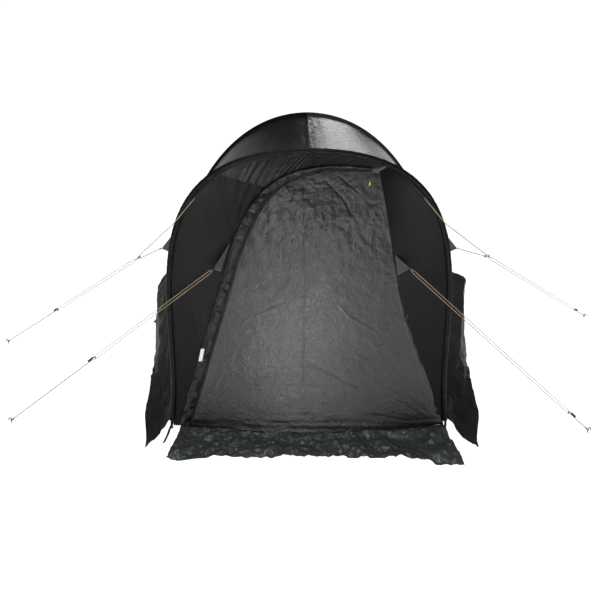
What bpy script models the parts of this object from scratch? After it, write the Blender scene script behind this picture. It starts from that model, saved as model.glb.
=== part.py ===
"""A one-person bivy shelter: two hoops at the front, a low hoop at the foot end, snow skirts and guy lines.

Metres, +Z up. The origin is on the ground in the middle of the whole footprint. The door faces -Y.
Every fabric piece is a thin closed sheet that follows the pole hoops, so the shelter is hollow.
"""
import math

import bpy
import bmesh
from mathutils import Vector

# Driving sizes of the footprint
HALF_LENGTH = 1.325
FRONT_REACH = 0.25
FRONT_Y = -HALF_LENGTH + FRONT_REACH
MAIN_Y = FRONT_Y + 0.95
FOOT_Y = 1.165

# Each hoop is a cubic curve: foot half width, two handles, and the height of the crown
FRONT_HOOP = {"y": FRONT_Y, "foot": 0.516, "leg": (0.426, 0.416), "shoulder": 0.675, "crown": 1.042}
MAIN_HOOP = {"y": MAIN_Y, "foot": 0.632, "leg": (0.621, 0.613), "shoulder": 0.349, "crown": 1.008}
FOOT_HOOP = {"y": FOOT_Y, "foot": 0.36, "leg": (0.375, 0.24), "shoulder": 0.26, "crown": 0.42}
HOOP_STEPS = 19

# Poles, sleeves and cloth
POLE_RADIUS = 0.00475
POLE_TIP = 0.02
SLEEVE_BORE = 0.0062
SLEEVE_WALL = 0.0045
SLEEVE_SIDES = 8
SLEEVE_FOOT = 0.035
SLEEVE_REACH = SLEEVE_BORE + SLEEVE_WALL
CLOTH = 0.004
SEAM_GAP = 0.003
TOUCH_GAP = 0.0003
HEM_HEIGHT = 0.014
WAIST = 0.012

# Door: the zip rises straight, then arches over to the top of the sewn edge
TOP_RECESS = 0.09
RECESS_POWER = 3.5
DOOR_CLEARANCE = 0.012
ZIP_FOOT = (-0.446, HEM_HEIGHT)
ZIP_SPRING = (-0.270, 0.590)
ZIP_RISE_HANDLE = (-0.167, 0.935)
ZIP_CROWN_HANDLE = (-0.070, 0.972)
DOOR_TOP = (0.236, 0.952)
DOOR_FOOT = (0.488, HEM_HEIGHT)
SEWN_EDGE_BOW = 0.034
SEWN_EDGE_DOOR_GAP = 0.005
SEWN_EDGE_WALL_GAP = 0.008
HINGE_INSET = SEWN_EDGE_BOW / 2
HINGE_FORWARD = {"foot": 0.008, "top": -0.004}
DOOR_REACH_AT_ZIP = 0.96
DOOR_REACH_AT_SEWN_EDGE = 0.985
HEM_BULGE = 0.045
HEM_BULGE_HEIGHT = 0.5
HEADER_GAP = 0.004
HEADER_SPLIT = 0.72
HEADER_LEFT_SPLIT = 0.80
HEADER_RIGHT_SPLIT = 0.84
DOOR_BELLY = 0.016
DOOR_BELLY_ENDS = (0.60, 0.35)
PANEL_ROWS = (0.0, 0.33, 0.67, 1.0)

# Storm flap over the zip
FLAP_WIDTH = 0.030
FLAP_STAND = 0.010
FLAP_SHEET = 0.003

# Skirts: the side ones hang from a seam that climbs towards the main hoop, and stand out there
SKIRT_SHEET = 0.004
SKIRT_SEAM_GAP = 0.006
SIDE_SKIRT_FRONT = ((0.0, 0.045), (0.28, 0.018), (0.52, 0.0), (0.76, 0.0), (1.0, 0.0))
SIDE_SKIRT_REAR = {
    -1: ((0.0, 0.290), (0.40, 0.285), (0.86, 0.215), (0.98, 0.100), (1.0, 0.0)),
    1: ((0.0, 0.295), (0.52, 0.290), (0.98, 0.262), (0.96, 0.130), (1.0, 0.0))}
SIDE_SKIRT_REACH = {-1: 0.106, 1: 0.134}
SIDE_SKIRT_TIP = 0.72
SIDE_SKIRT_FLARE = 0.155
SIDE_SKIRT_END = MAIN_Y - 0.03
SIDE_SKIRT_SEAM_END = 0.97
SIDE_SKIRT_TIP_OVER = 0.2
SIDE_SKIRT_RISE = (0.3, 0.65)
TAIL_SKIRT = ((0.0, 0.030), (0.2, 0.010), (0.4, 0.0), (1.0, 0.0))
TAIL_SKIRT_REACH = 0.125
TAIL_SKIRT_CORNER = 0.012
TAIL_SKIRT_CORNER_OVER = 0.2
TAIL_SKIRT_START = 0.03
TAIL_SKIRT_SEAM_START = 0.02
FOOT_SKIRT_INSET = 0.01
FOOT_SKIRT_SPREAD = 0.15
FOOT_END_TOP = 0.94
FRONT_SKIRT_SEAM = 0.010
FRONT_SKIRT_ENDS = (-0.474, 0.508)
FRONT_SKIRT_REACH = 0.205
FRONT_SKIRT_SPREAD = 1.06
FRONT_SKIRT_RIGHT_CORNER = (0.28, 0.16)
FRONT_SKIRT_LEFT_CORNER = (0.35, 0.1)
FRONT_SKIRT_LEFT_SHARE = 0.4

# Guy lines: the tip of each patch, the pegs, and the rings where the bridles meet
CORD_RADIUS = 0.0015
PATCH_SHEET = 0.0025
DOOR_PATCH_TIPS = {-1: (-0.329, -0.030, 0.641), 1: (0.343, -0.030, 0.645)}
DOOR_PATCH_ROOTS = {-1: (0.56, 0.50, 0.19), 1: (0.705, 0.625, 0.04)}
PEG_RADIUS = 0.002
PEG_STAND = 0.017
PEG_HOOK = ((0.0, 0.0), (0.002, 0.0035), (0.006, 0.004), (0.009, 0.001), (0.0095, -0.005))
PEG_LINE_HEIGHT = 0.012
FRONT_PEGS = {-1: (1.125, 0.038), 1: (1.035, -0.033)}
HOOP_PEGS = {-1: (1.376, 0.745), 1: (1.376, 1.045)}
RINGS = {-1: (0.616, 0.130, 0.628), 1: (0.660, 0.205, 0.610)}
RING_RADIUS = 0.010
RING_WIRE = 0.002
BRIDLE_BEND = 0.0046
SLEEVE_TAB_TIP = (0.379, 0.891)
SLEEVE_TAB_ROOTS = (0.932, 0.905)
HOOP_PATCH_TIP = (0.512, 0.702)
HOOP_PATCH_ROOTS = (0.745, 0.695)
BRIDLE_REST_HEIGHT = 0.80
BRIDLE_REST = (0.011, -0.012)
TAB_ROOT = (-0.020, -0.004)
TAB_FORWARD = 0.016
HOOP_PATCH_ROOT = (SLEEVE_REACH + 0.002, 0.006)
HOOP_PATCH_BEHIND = 0.016
CORD_SETBACK = 0.003
LOCK_SIZE = (0.024, 0.011, 0.006)
FRONT_LOCK_AT = {-1: 0.583, 1: 0.912}
HOOP_LOCK_AT = {-1: 0.575, 1: 0.895}

# Door hardware
SLIDER_SIZE = (0.009, 0.004, 0.030)
SLIDER_AT = (0.205, 0.922)
SLIDER_STAND = 0.0035
TOGGLE_RADIUS = 0.004
TOGGLE_LENGTH = 0.026
TOGGLE_LEAN = math.radians(15.0)
TOGGLE_STAND = 0.002
TOGGLE_AT = (0.346, 0.455)

SHELTER = bpy.data.collections.new("bivy_shelter")


def clear_scene():
    """Remove whatever the file opened with, and link the collection for the parts."""
    for item in list(bpy.data.objects):
        bpy.data.objects.remove(item, do_unlink=True)
    bpy.context.scene.collection.children.link(SHELTER)


def make_material(name, colour, roughness, metallic=0.0):
    """A plain surface with the colour and finish of the real material."""
    material = bpy.data.materials.new(name)
    material.use_nodes = True
    shader = material.node_tree.nodes["Principled BSDF"]
    shader.inputs["Base Color"].default_value = (*colour, 1.0)
    shader.inputs["Roughness"].default_value = roughness
    shader.inputs["Metallic"].default_value = metallic
    return material


def place(name, data, material):
    """Make the object for one sub-part."""
    data.materials.append(material)
    item = bpy.data.objects.new(name, data)
    SHELTER.objects.link(item)
    return item


def blend(a, b, t):
    """The value between a and b at t."""
    return a + (b - a) * t


def smooth(t):
    """An ease from 0 to 1."""
    t = min(max(t, 0.0), 1.0)
    return t * t * (3.0 - 2.0 * t)


def steps(low, high, count):
    """Evenly spaced values from low to high."""
    return [blend(low, high, i / (count - 1)) for i in range(count)]


def cubic(a, b, c, d, t):
    """The point at t on a cubic curve in a plane."""
    weights = ((1 - t) ** 3, 3 * t * (1 - t) ** 2, 3 * t * t * (1 - t), t ** 3)
    return tuple(sum(w * p[i] for w, p in zip(weights, (a, b, c, d))) for i in (0, 1))


def hoop_at(hoop, u):
    """Half a hoop: x and z at u, from the foot at 0 to the crown at 1."""
    foot = (hoop["foot"], 0.0)
    shoulder = (hoop["shoulder"], hoop["crown"])
    return cubic(foot, hoop["leg"], shoulder, (0.0, hoop["crown"]), u)


def hoop_inset(hoop, u, inset):
    """A point inside the hoop by the inset, square to its curve."""
    x0, z0 = hoop_at(hoop, max(u - 0.01, 0.0))
    x1, z1 = hoop_at(hoop, min(u + 0.01, 1.0))
    length = math.hypot(x1 - x0, z1 - z0)
    x, z = hoop_at(hoop, u)
    return x - inset * (z1 - z0) / length, z + inset * (x1 - x0) / length


def hoop_height_at(hoop, z):
    """The u where the leg of the hoop reaches height z."""
    low, high = 0.0, 1.0
    for _ in range(40):
        middle = (low + high) / 2
        if hoop_at(hoop, middle)[1] < z:
            low = middle
        else:
            high = middle
    return low


def sheet(name, rows, material, thickness=CLOTH, offset=0.0):
    """A thin closed solid from rows of points: a loft between unlike curves, made thick."""
    data = bpy.data.meshes.new(name)
    mesh = bmesh.new()
    grid = [[mesh.verts.new(point) for point in row] for row in rows]
    for low, high in zip(grid, grid[1:]):
        for i in range(len(low) - 1):
            mesh.faces.new((low[i], low[i + 1], high[i + 1], high[i]))
    mesh.to_mesh(data)
    mesh.free()
    item = place(name, data, material)
    wall = item.modifiers.new("cloth", "SOLIDIFY")
    wall.thickness = thickness
    wall.offset = offset
    wall.use_even_offset = False
    data.shade_smooth()
    return item


def tube(name, points, radius, material):
    """A round bar or cord along a line of points."""
    data = bpy.data.curves.new(name, "CURVE")
    data.dimensions = "3D"
    data.bevel_depth = radius
    data.bevel_resolution = 2
    data.use_fill_caps = True
    spline = data.splines.new("POLY")
    spline.points.add(len(points) - 1)
    for spot, point in zip(spline.points, points):
        spot.co = (*point, 1.0)
    return place(name, data, material)


def full_hoop(hoop, foot_u):
    """Points over the whole hoop, from the left foot over the crown to the right foot."""
    half = [hoop_at(hoop, u) for u in steps(foot_u, 1.0, HOOP_STEPS)]
    left = [Vector((-x, hoop["y"], z)) for x, z in half]
    right = [Vector((x, hoop["y"], z)) for x, z in reversed(half[:-1])]
    return left + right


def make_pole(name, hoop, material):
    """A bent pole that stands on the ground with a short upright tip at each end."""
    line = full_hoop(hoop, hoop_height_at(hoop, POLE_TIP))
    left_tip = Vector((line[0].x, hoop["y"], 0.0))
    right_tip = Vector((line[-1].x, hoop["y"], 0.0))
    return tube(name, [left_tip] + line + [right_tip], POLE_RADIUS, material)


def make_sleeve(name, hoop, material):
    """A fabric sleeve around the pole, open at both feet."""
    line = full_hoop(hoop, hoop_height_at(hoop, SLEEVE_FOOT))
    rows = []
    for i, point in enumerate(line):
        ahead = line[min(i + 1, len(line) - 1)] - line[max(i - 1, 0)]
        along = ahead.normalized()
        across = Vector((0.0, 1.0, 0.0))
        out = along.cross(across)
        ring = []
        for k in range(SLEEVE_SIDES):
            angle = 2 * math.pi * k / SLEEVE_SIDES
            ring.append(point + (out * math.cos(angle) + across * math.sin(angle)) * SLEEVE_BORE)
        rows.append(ring)
    data = bpy.data.meshes.new(name)
    mesh = bmesh.new()
    grid = [[mesh.verts.new(point) for point in row] for row in rows]
    for low, high in zip(grid, grid[1:]):
        for k in range(SLEEVE_SIDES):
            after = (k + 1) % SLEEVE_SIDES
            mesh.faces.new((low[k], low[after], high[after], high[k]))
    bmesh.ops.recalc_face_normals(mesh, faces=mesh.faces)
    mesh.to_mesh(data)
    mesh.free()
    item = place(name, data, material)
    wall = item.modifiers.new("cloth", "SOLIDIFY")
    wall.thickness = SLEEVE_WALL
    wall.offset = 1.0
    data.shade_smooth()
    return item


def bay_point(near, far, u, w, side):
    """A point on the cloth that is stretched between two hoops, with its slight waist."""
    xn, zn = hoop_at(near, u)
    xf, zf = hoop_at(far, u)
    start = near["y"] + SLEEVE_REACH + SEAM_GAP
    end = far["y"] - SLEEVE_REACH - SEAM_GAP
    waist = WAIST * 4 * w * (1 - w)
    x = max(blend(xn, xf, w) - waist * (1 - u), CLOTH / 2)
    z = blend(zn, zf, w) - waist * u
    return Vector((side * x, blend(start, end, w), z))


def make_bay_panel(name, near, far, side, across, material):
    """One half of the cloth between two hoops, from the hem to the ridge seam."""
    foot_u = hoop_height_at(near, HEM_HEIGHT)
    rows = []
    for u in steps(foot_u, 1.0, 13):
        row = [bay_point(near, far, u, w, side) for w in steps(0.0, 1.0, across)]
        rows.append(row if side > 0 else row[::-1])
    return sheet(name, rows, material)


def wall_depth(x, z):
    """How far the front wall lies behind the front hoop: recessed under the crown, bulging at the hem."""
    across = max(0.0, 1 - (x / DOOR_FOOT[0]) ** 2)
    bulge = HEM_BULGE * across * max(0.0, 1 - z / HEM_BULGE_HEIGHT) ** 2
    recess = TOP_RECESS * (max(z, 0.0) / DOOR_TOP[1]) ** RECESS_POWER
    return recess - bulge


def zip_edge(t):
    """The zipped edge of the door, from the hem at 0 to the top of the sewn edge at 1."""
    if t < 0.5:
        return (blend(ZIP_FOOT[0], ZIP_SPRING[0], t * 2), blend(ZIP_FOOT[1], ZIP_SPRING[1], t * 2))
    return cubic(ZIP_SPRING, ZIP_RISE_HANDLE, ZIP_CROWN_HANDLE, DOOR_TOP, t * 2 - 1)


def sewn_edge(t):
    """The sewn edge of the door, from the hem at 0 to the top at 1, with its slight bow."""
    bow = SEWN_EDGE_BOW * math.sin(math.pi * t) ** 2
    return blend(DOOR_FOOT[0], DOOR_TOP[0], t) - bow, blend(DOOR_FOOT[1], DOOR_TOP[1], t)


def edge_outside(edge, t, distance, turn):
    """A point beside an edge of the door, away from the door."""
    x0, z0 = edge(max(t - 0.01, 0.0))
    x1, z1 = edge(min(t + 0.01, 1.0))
    length = math.hypot(x1 - x0, z1 - z0)
    x, z = edge(t)
    return x - turn * distance * (z1 - z0) / length, z + turn * distance * (x1 - x0) / length


def on_wall(x, z, forward=0.0):
    """The point of the door's plane at x and z, moved forward if asked."""
    return Vector((x, FRONT_Y + wall_depth(x, z) - forward, z))


def wall_tilt(x, z):
    """The turn about X that lays an upright piece against the wall here."""
    return -math.atan((wall_depth(x, z + 0.01) - wall_depth(x, z - 0.01)) / 0.02)


def hoop_edge_point(u, side):
    """A point on the inner side of the front sleeve."""
    x, z = hoop_inset(FRONT_HOOP, u, SLEEVE_REACH + SEAM_GAP)
    return Vector((side * x, FRONT_Y, z))


def facing_hoop(t):
    """The point of the front hoop that the wall beside the zip reaches for at t."""
    low_u = hoop_height_at(FRONT_HOOP, HEM_HEIGHT)
    if t < HEADER_SPLIT:
        return hoop_edge_point(blend(low_u, HEADER_LEFT_SPLIT, t / HEADER_SPLIT), -1)
    left_span = 1.0 - HEADER_LEFT_SPLIT
    whole_span = left_span + 1.0 - HEADER_RIGHT_SPLIT
    walk = (t - HEADER_SPLIT) / (1.0 - HEADER_SPLIT) * whole_span
    if walk < left_span:
        return hoop_edge_point(HEADER_LEFT_SPLIT + walk, -1)
    return hoop_edge_point(1.0 - (walk - left_span), 1)


def beside_zip(t):
    """The edge of the doorway next to the zip at t."""
    x, z = edge_outside(zip_edge, t, DOOR_CLEARANCE, 1)
    return on_wall(x, max(z, HEM_HEIGHT))


def beside_sewn_edge(t):
    """The edge of the wall next to the door's sewn edge at t."""
    x, z = edge_outside(sewn_edge, t, SEWN_EDGE_WALL_GAP, -1)
    return on_wall(x, max(z, HEM_HEIGHT))


def make_zip_side_wall(name, low_t, high_t, count, material):
    """The cloth between the front hoop and a stretch of the zip."""
    rows = []
    for t in steps(low_t, high_t, count):
        outer = facing_hoop(t)
        rows.append([outer.lerp(beside_zip(t), w) for w in PANEL_ROWS])
    return sheet(name, rows, material)


def make_hinge_side_wall(name, material):
    """The cloth between the front hoop and the door's sewn edge."""
    low_u = hoop_height_at(FRONT_HOOP, HEM_HEIGHT)
    rows = []
    for t in steps(0.0, 1.0, 12):
        outer = hoop_edge_point(blend(low_u, HEADER_RIGHT_SPLIT, t), 1)
        rows.append([beside_sewn_edge(t).lerp(outer, w) for w in PANEL_ROWS])
    return sheet(name, rows, material)


def make_door(material):
    """The door: one sheet between its zipped edge and its sewn edge."""
    rows = []
    for k in steps(0.0, 1.0, 13):
        left = zip_edge(k * DOOR_REACH_AT_ZIP)
        right = edge_outside(sewn_edge, k * DOOR_REACH_AT_SEWN_EDGE, SEWN_EDGE_DOOR_GAP, 1)
        belly = DOOR_BELLY * (1 - smooth((k - DOOR_BELLY_ENDS[0]) / DOOR_BELLY_ENDS[1]))
        row = []
        for w in steps(0.0, 1.0, 9):
            x = blend(left[0], right[0], w)
            z = blend(left[1], right[1], w)
            row.append(on_wall(x, z, belly * 4 * w * (1 - w)))
        rows.append(row)
    return sheet("door_panel", rows, material)


def make_storm_flap(material):
    """The strip that covers the zip, sewn to the wall outside the doorway."""
    rows = []
    for t in steps(0.02, 0.985, 22):
        inner = beside_zip(t)
        outward = (facing_hoop(t) - inner).normalized()
        row = []
        for reach in (0.0, 0.5, 1.0):
            spot = inner + outward * reach * FLAP_WIDTH
            spot.y -= FLAP_STAND + CLOTH
            row.append(spot)
        rows.append(row)
    return sheet("door_storm_flap", rows, material, FLAP_SHEET)


def make_foot_end(material):
    """The flat closing wall inside the foot hoop."""
    low_u = hoop_height_at(FOOT_HOOP, HEM_HEIGHT)
    rows = []
    for u in steps(low_u, FOOT_END_TOP, 9):
        x, z = hoop_inset(FOOT_HOOP, u, SLEEVE_REACH + SEAM_GAP)
        rows.append([Vector((x * w, FOOT_Y, z)) for w in (1.0, 0.33, -0.33, -1.0)])
    return sheet("foot_end_panel", rows, material)


def wall_x(near, far, w, z):
    """How far the cloth between two hoops stands from the middle at height z."""
    un = hoop_height_at(near, z)
    uf = hoop_height_at(far, z)
    x = blend(hoop_at(near, un)[0], hoop_at(far, uf)[0], w)
    return x - WAIST * 4 * w * (1 - w) * (1 - un)


def make_side_skirt(side, hand, material):
    """A skirt beside the front bay: flat at the front, standing out at the main hoop."""
    start = FRONT_Y + SLEEVE_REACH + SEAM_GAP
    rows = []
    for w in steps(0.0, 1.0, 11):
        rear = smooth((w - SIDE_SKIRT_RISE[0]) / SIDE_SKIRT_RISE[1])
        reach = SIDE_SKIRT_REACH[side] * blend(SIDE_SKIRT_TIP, 1.0, smooth(w / SIDE_SKIRT_TIP_OVER))
        profile = [(blend(f[0], r[0], rear) * reach, blend(f[1], r[1], rear))
                   for f, r in zip(SIDE_SKIRT_FRONT, SIDE_SKIRT_REAR[side])]
        seam_x = wall_x(FRONT_HOOP, MAIN_HOOP, w * SIDE_SKIRT_SEAM_END, profile[0][1]) + SKIRT_SEAM_GAP
        flare = SIDE_SKIRT_FLARE * (1 - w) ** 4
        row = []
        for out, z in profile:
            y = blend(start, SIDE_SKIRT_END, w) - flare * out / reach
            row.append(Vector((side * (seam_x + out), y, z)))
        rows.append(row if side > 0 else row[::-1])
    return sheet("side_skirt_" + hand, rows, material, SKIRT_SHEET, 1.0)


def make_tail_skirt(side, hand, material):
    """A skirt along the tail, from the main hoop to the foot hoop."""
    rows = []
    for w in steps(0.0, 1.0, 8):
        y = blend(MAIN_Y + TAIL_SKIRT_START, FOOT_Y, w)
        share = blend(TAIL_SKIRT_SEAM_START, 1.0, w)
        seam_x = wall_x(MAIN_HOOP, FOOT_HOOP, share, TAIL_SKIRT[0][1]) + SKIRT_SEAM_GAP
        seam_x += TAIL_SKIRT_CORNER * smooth(1 - (1 - w) / TAIL_SKIRT_CORNER_OVER)
        row = [Vector((side * (seam_x + out * TAIL_SKIRT_REACH), y, z)) for out, z in TAIL_SKIRT]
        rows.append(row if side > 0 else row[::-1])
    return sheet("tail_skirt_" + hand, rows, material, SKIRT_SHEET, 1.0)


def make_foot_skirt(material):
    """The skirt behind the foot hoop."""
    half = FOOT_HOOP["foot"] - FOOT_SKIRT_INSET
    rows = []
    for w in steps(1.0, -1.0, 6):
        row = []
        for out, z in TAIL_SKIRT:
            spread = 1 + FOOT_SKIRT_SPREAD * out
            start = FOOT_Y + SLEEVE_REACH + SEAM_GAP
            row.append(Vector((half * w * spread, blend(start, HALF_LENGTH, out), z)))
        rows.append(row)
    return sheet("foot_end_skirt", rows, material, SKIRT_SHEET, 1.0)


def make_front_skirt(material):
    """The skirt that lies on the ground in front of the door."""
    rows = []
    for x in steps(*FRONT_SKIRT_ENDS, 15):
        seam = wall_depth(x, 0.0) - FRONT_SKIRT_SEAM
        right = smooth((x - FRONT_SKIRT_RIGHT_CORNER[0]) / FRONT_SKIRT_RIGHT_CORNER[1])
        left = smooth((-x - FRONT_SKIRT_LEFT_CORNER[0]) / FRONT_SKIRT_LEFT_CORNER[1])
        corner = right + FRONT_SKIRT_LEFT_SHARE * left
        outer = -blend(FRONT_SKIRT_REACH, FRONT_REACH, corner)
        row = []
        for out in PANEL_ROWS:
            spread = blend(1.0, FRONT_SKIRT_SPREAD, out)
            row.append(Vector((x * spread, FRONT_Y + blend(seam, outer, out), 0.0)))
        rows.append(row)
    return sheet("front_skirt", rows, material, SKIRT_SHEET, 1.0)


def make_patch(name, corners, material):
    """A sewn triangle of doubled cloth."""
    data = bpy.data.meshes.new(name)
    mesh = bmesh.new()
    mesh.faces.new([mesh.verts.new(corner) for corner in corners])
    mesh.to_mesh(data)
    mesh.free()
    item = place(name, data, material)
    wall = item.modifiers.new("cloth", "SOLIDIFY")
    wall.thickness = PATCH_SHEET
    wall.offset = 0.0
    return item


def zip_wall_point(t, w, forward):
    """A place on the wall beside the zip, w of the way to the hoop, moved forward."""
    spot = beside_zip(t).lerp(facing_hoop(t), w)
    spot.y -= forward
    return spot


def hinge_wall_point(t, w, forward):
    """A place on the wall beside the sewn edge, w of the way to the hoop, moved forward."""
    low_u = hoop_height_at(FRONT_HOOP, HEM_HEIGHT)
    outer = hoop_edge_point(blend(low_u, HEADER_RIGHT_SPLIT, t), 1)
    spot = beside_sewn_edge(t).lerp(outer, w)
    spot.y -= forward
    return spot


def hoop_spot(z, side, out, behind):
    """A place beside the front hoop at height z."""
    x = hoop_at(FRONT_HOOP, hoop_height_at(FRONT_HOOP, z))[0]
    return Vector((side * (x + out), FRONT_Y + behind, z))


def door_patch_corners(side):
    """The three corners of the patch at the edge of the doorway, the tip last."""
    near = CLOTH + PATCH_SHEET
    x, behind, z = DOOR_PATCH_TIPS[side]
    tip = Vector((x, FRONT_Y + behind, z))
    wall_point = zip_wall_point if side < 0 else hinge_wall_point
    upper, lower, across = DOOR_PATCH_ROOTS[side]
    return wall_point(upper, across, near), wall_point(lower, across, near), tip


def bridle_points(side):
    """The route of the bridle: sleeve tab, over the sleeve, through the ring, hoop patch."""
    tab = Vector((side * SLEEVE_TAB_TIP[0], FRONT_Y - TAB_FORWARD, SLEEVE_TAB_TIP[1]))
    rest = hoop_spot(BRIDLE_REST_HEIGHT, side, *BRIDLE_REST)
    patch = Vector((side * HOOP_PATCH_TIP[0], FRONT_Y + HOOP_PATCH_BEHIND, HOOP_PATCH_TIP[1]))
    ring, pull, across = ring_frame(side)
    near_wire = ring - pull * RING_RADIUS
    bend = []
    for k in range(5):
        angle = math.pi * k / 4
        bend.append(near_wire + (across * math.cos(angle) + pull * math.sin(angle)) * BRIDLE_BEND)
    return [tab, rest] + bend + [patch]


def ring_frame(side):
    """The centre of the ring, the way the guy line pulls it, and the way through its hole."""
    x, behind, z = RINGS[side]
    ring = Vector((side * x, FRONT_Y + behind, z))
    pull = (peg_top(HOOP_PEGS, side) - ring).normalized()
    across = hoop_spot(BRIDLE_REST_HEIGHT, side, *BRIDLE_REST) - ring
    across = (across - pull * across.dot(pull)).normalized()
    return ring, pull, across


def peg_top(pegs, side):
    """Where the line meets its peg."""
    x, behind = pegs[side]
    return Vector((side * x, FRONT_Y + behind, PEG_LINE_HEIGHT))


def make_ring(name, side, material):
    """The small ring that joins a bridle to its guy line."""
    ring, _, across = ring_frame(side)
    bpy.ops.mesh.primitive_torus_add(major_radius=RING_RADIUS, minor_radius=RING_WIRE,
                                     major_segments=16, minor_segments=6)
    item = bpy.context.object
    item.name = name
    item.location = ring
    item.rotation_mode = "QUATERNION"
    item.rotation_quaternion = across.to_track_quat("Z", "Y")
    return move_into_part(item, material)


def move_into_part(item, material):
    """Give a primitive its material and put it with the other parts."""
    item.data.name = item.name
    item.data.materials.append(material)
    for group in list(item.users_collection):
        group.objects.unlink(item)
    SHELTER.objects.link(item)
    return item


def make_block(name, centre, size, along, material):
    """A small block whose length lies along a direction."""
    bpy.ops.mesh.primitive_cube_add(size=1.0)
    item = bpy.context.object
    item.name = name
    item.scale = size
    bpy.ops.object.transform_apply(location=False, rotation=False, scale=True)
    item.location = centre
    item.rotation_mode = "QUATERNION"
    item.rotation_quaternion = along.to_track_quat("X", "Z")
    return move_into_part(item, material)


def make_lock(name, start, end, at, material):
    """A line lock that sits on top of its cord."""
    along = (end - start).normalized()
    up = Vector((0.0, 0.0, 1.0))
    above = (up - along * up.dot(along)).normalized()
    lift = CORD_RADIUS + LOCK_SIZE[2] / 2 + TOUCH_GAP
    return make_block(name, start.lerp(end, at) + above * lift, LOCK_SIZE, along, material)


def make_peg(name, pegs, side, material):
    """The part of a peg above the ground: an upright shaft with a hooked head."""
    x, behind = pegs[side]
    foot = Vector((side * x, FRONT_Y + behind, 0.0))
    back = Vector((side, 0.0, 0.0))
    points = [foot] + [foot + back * out + Vector((0.0, 0.0, PEG_STAND + up)) for out, up in PEG_HOOK]
    return tube(name, points, PEG_RADIUS, material)


def make_guys(side, hand, cloth, cord, metal, plastic):
    """Both guy lines on one side, with everything that ties them to the shelter and the ground."""
    corners = door_patch_corners(side)
    make_patch("door_guy_patch_" + hand, corners, cloth)
    setback = Vector((side * CORD_SETBACK, 0.0, 0.0))
    roots = [hoop_spot(z, side, *TAB_ROOT) for z in SLEEVE_TAB_ROOTS]
    tab_tip = bridle_points(side)[0] - setback + Vector((0.0, 0.0, CORD_SETBACK))
    make_patch("sleeve_guy_tab_" + hand, (*roots, tab_tip), cloth)
    roots = [hoop_spot(z, side, *HOOP_PATCH_ROOT) for z in HOOP_PATCH_ROOTS]
    make_patch("hoop_guy_patch_" + hand, (*roots, bridle_points(side)[-1] - setback), cloth)
    peg_gap = PEG_RADIUS + 3 * CORD_RADIUS
    for name, pegs, start, lock_at in (
            ("front", FRONT_PEGS, corners[2], FRONT_LOCK_AT[side]),
            ("hoop", HOOP_PEGS, ring_frame(side)[0], HOOP_LOCK_AT[side])):
        make_peg(name + "_peg_" + hand, pegs, side, metal)
        end = peg_top(pegs, side)
        along = (end - start).normalized()
        hold = RING_RADIUS + RING_WIRE + TOUCH_GAP if name == "hoop" else CORD_SETBACK
        first = start + along * hold
        last = end - along * peg_gap
        tube(name + "_guy_line_" + hand, [first, last], CORD_RADIUS, cord)
        make_lock(name + "_line_lock_" + hand, first, last, lock_at, plastic)
    tube("guy_bridle_" + hand, bridle_points(side), CORD_RADIUS, cord)
    make_ring("guy_ring_" + hand, side, metal)


def make_slider(material):
    """The zip's slider and its pull, parked at the top of the sewn edge."""
    x, z = SLIDER_AT
    forward = CLOTH / 2 + SLIDER_SIZE[1] / 2 + SLIDER_STAND
    item = make_block("zip_slider", on_wall(x, z, forward), SLIDER_SIZE, Vector((1.0, 0.0, 0.0)), material)
    item.rotation_mode = "XYZ"
    item.rotation_euler = (wall_tilt(x, z), 0.0, 0.0)
    return item


def make_toggle(material):
    """The toggle at the sewn edge that holds the rolled door."""
    x, z = TOGGLE_AT
    bpy.ops.mesh.primitive_cylinder_add(radius=TOGGLE_RADIUS, depth=TOGGLE_LENGTH, vertices=12)
    item = bpy.context.object
    item.name = "tie_back_toggle"
    item.location = on_wall(x, z, CLOTH / 2 + TOGGLE_RADIUS + TOGGLE_STAND)
    item.rotation_euler = (0.0, TOGGLE_LEAN, 0.0)
    return move_into_part(item, material)


def hang_on_hinge(pieces):
    """Parent the door's pieces to an empty on the line that the door swings about."""
    foot = Vector((DOOR_FOOT[0] - HINGE_INSET, FRONT_Y - HINGE_FORWARD["foot"], DOOR_FOOT[1]))
    top = Vector((DOOR_TOP[0] - HINGE_INSET, FRONT_Y - HINGE_FORWARD["top"], DOOR_TOP[1]))
    hinge = bpy.data.objects.new("door_hinge", None)
    SHELTER.objects.link(hinge)
    hinge.location = foot
    hinge.rotation_mode = "QUATERNION"
    hinge.rotation_quaternion = (top - foot).to_track_quat("Z", "Y")
    bpy.context.view_layer.update()
    for piece in pieces:
        piece.parent = hinge
        piece.matrix_parent_inverse = hinge.matrix_world.inverted()


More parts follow.
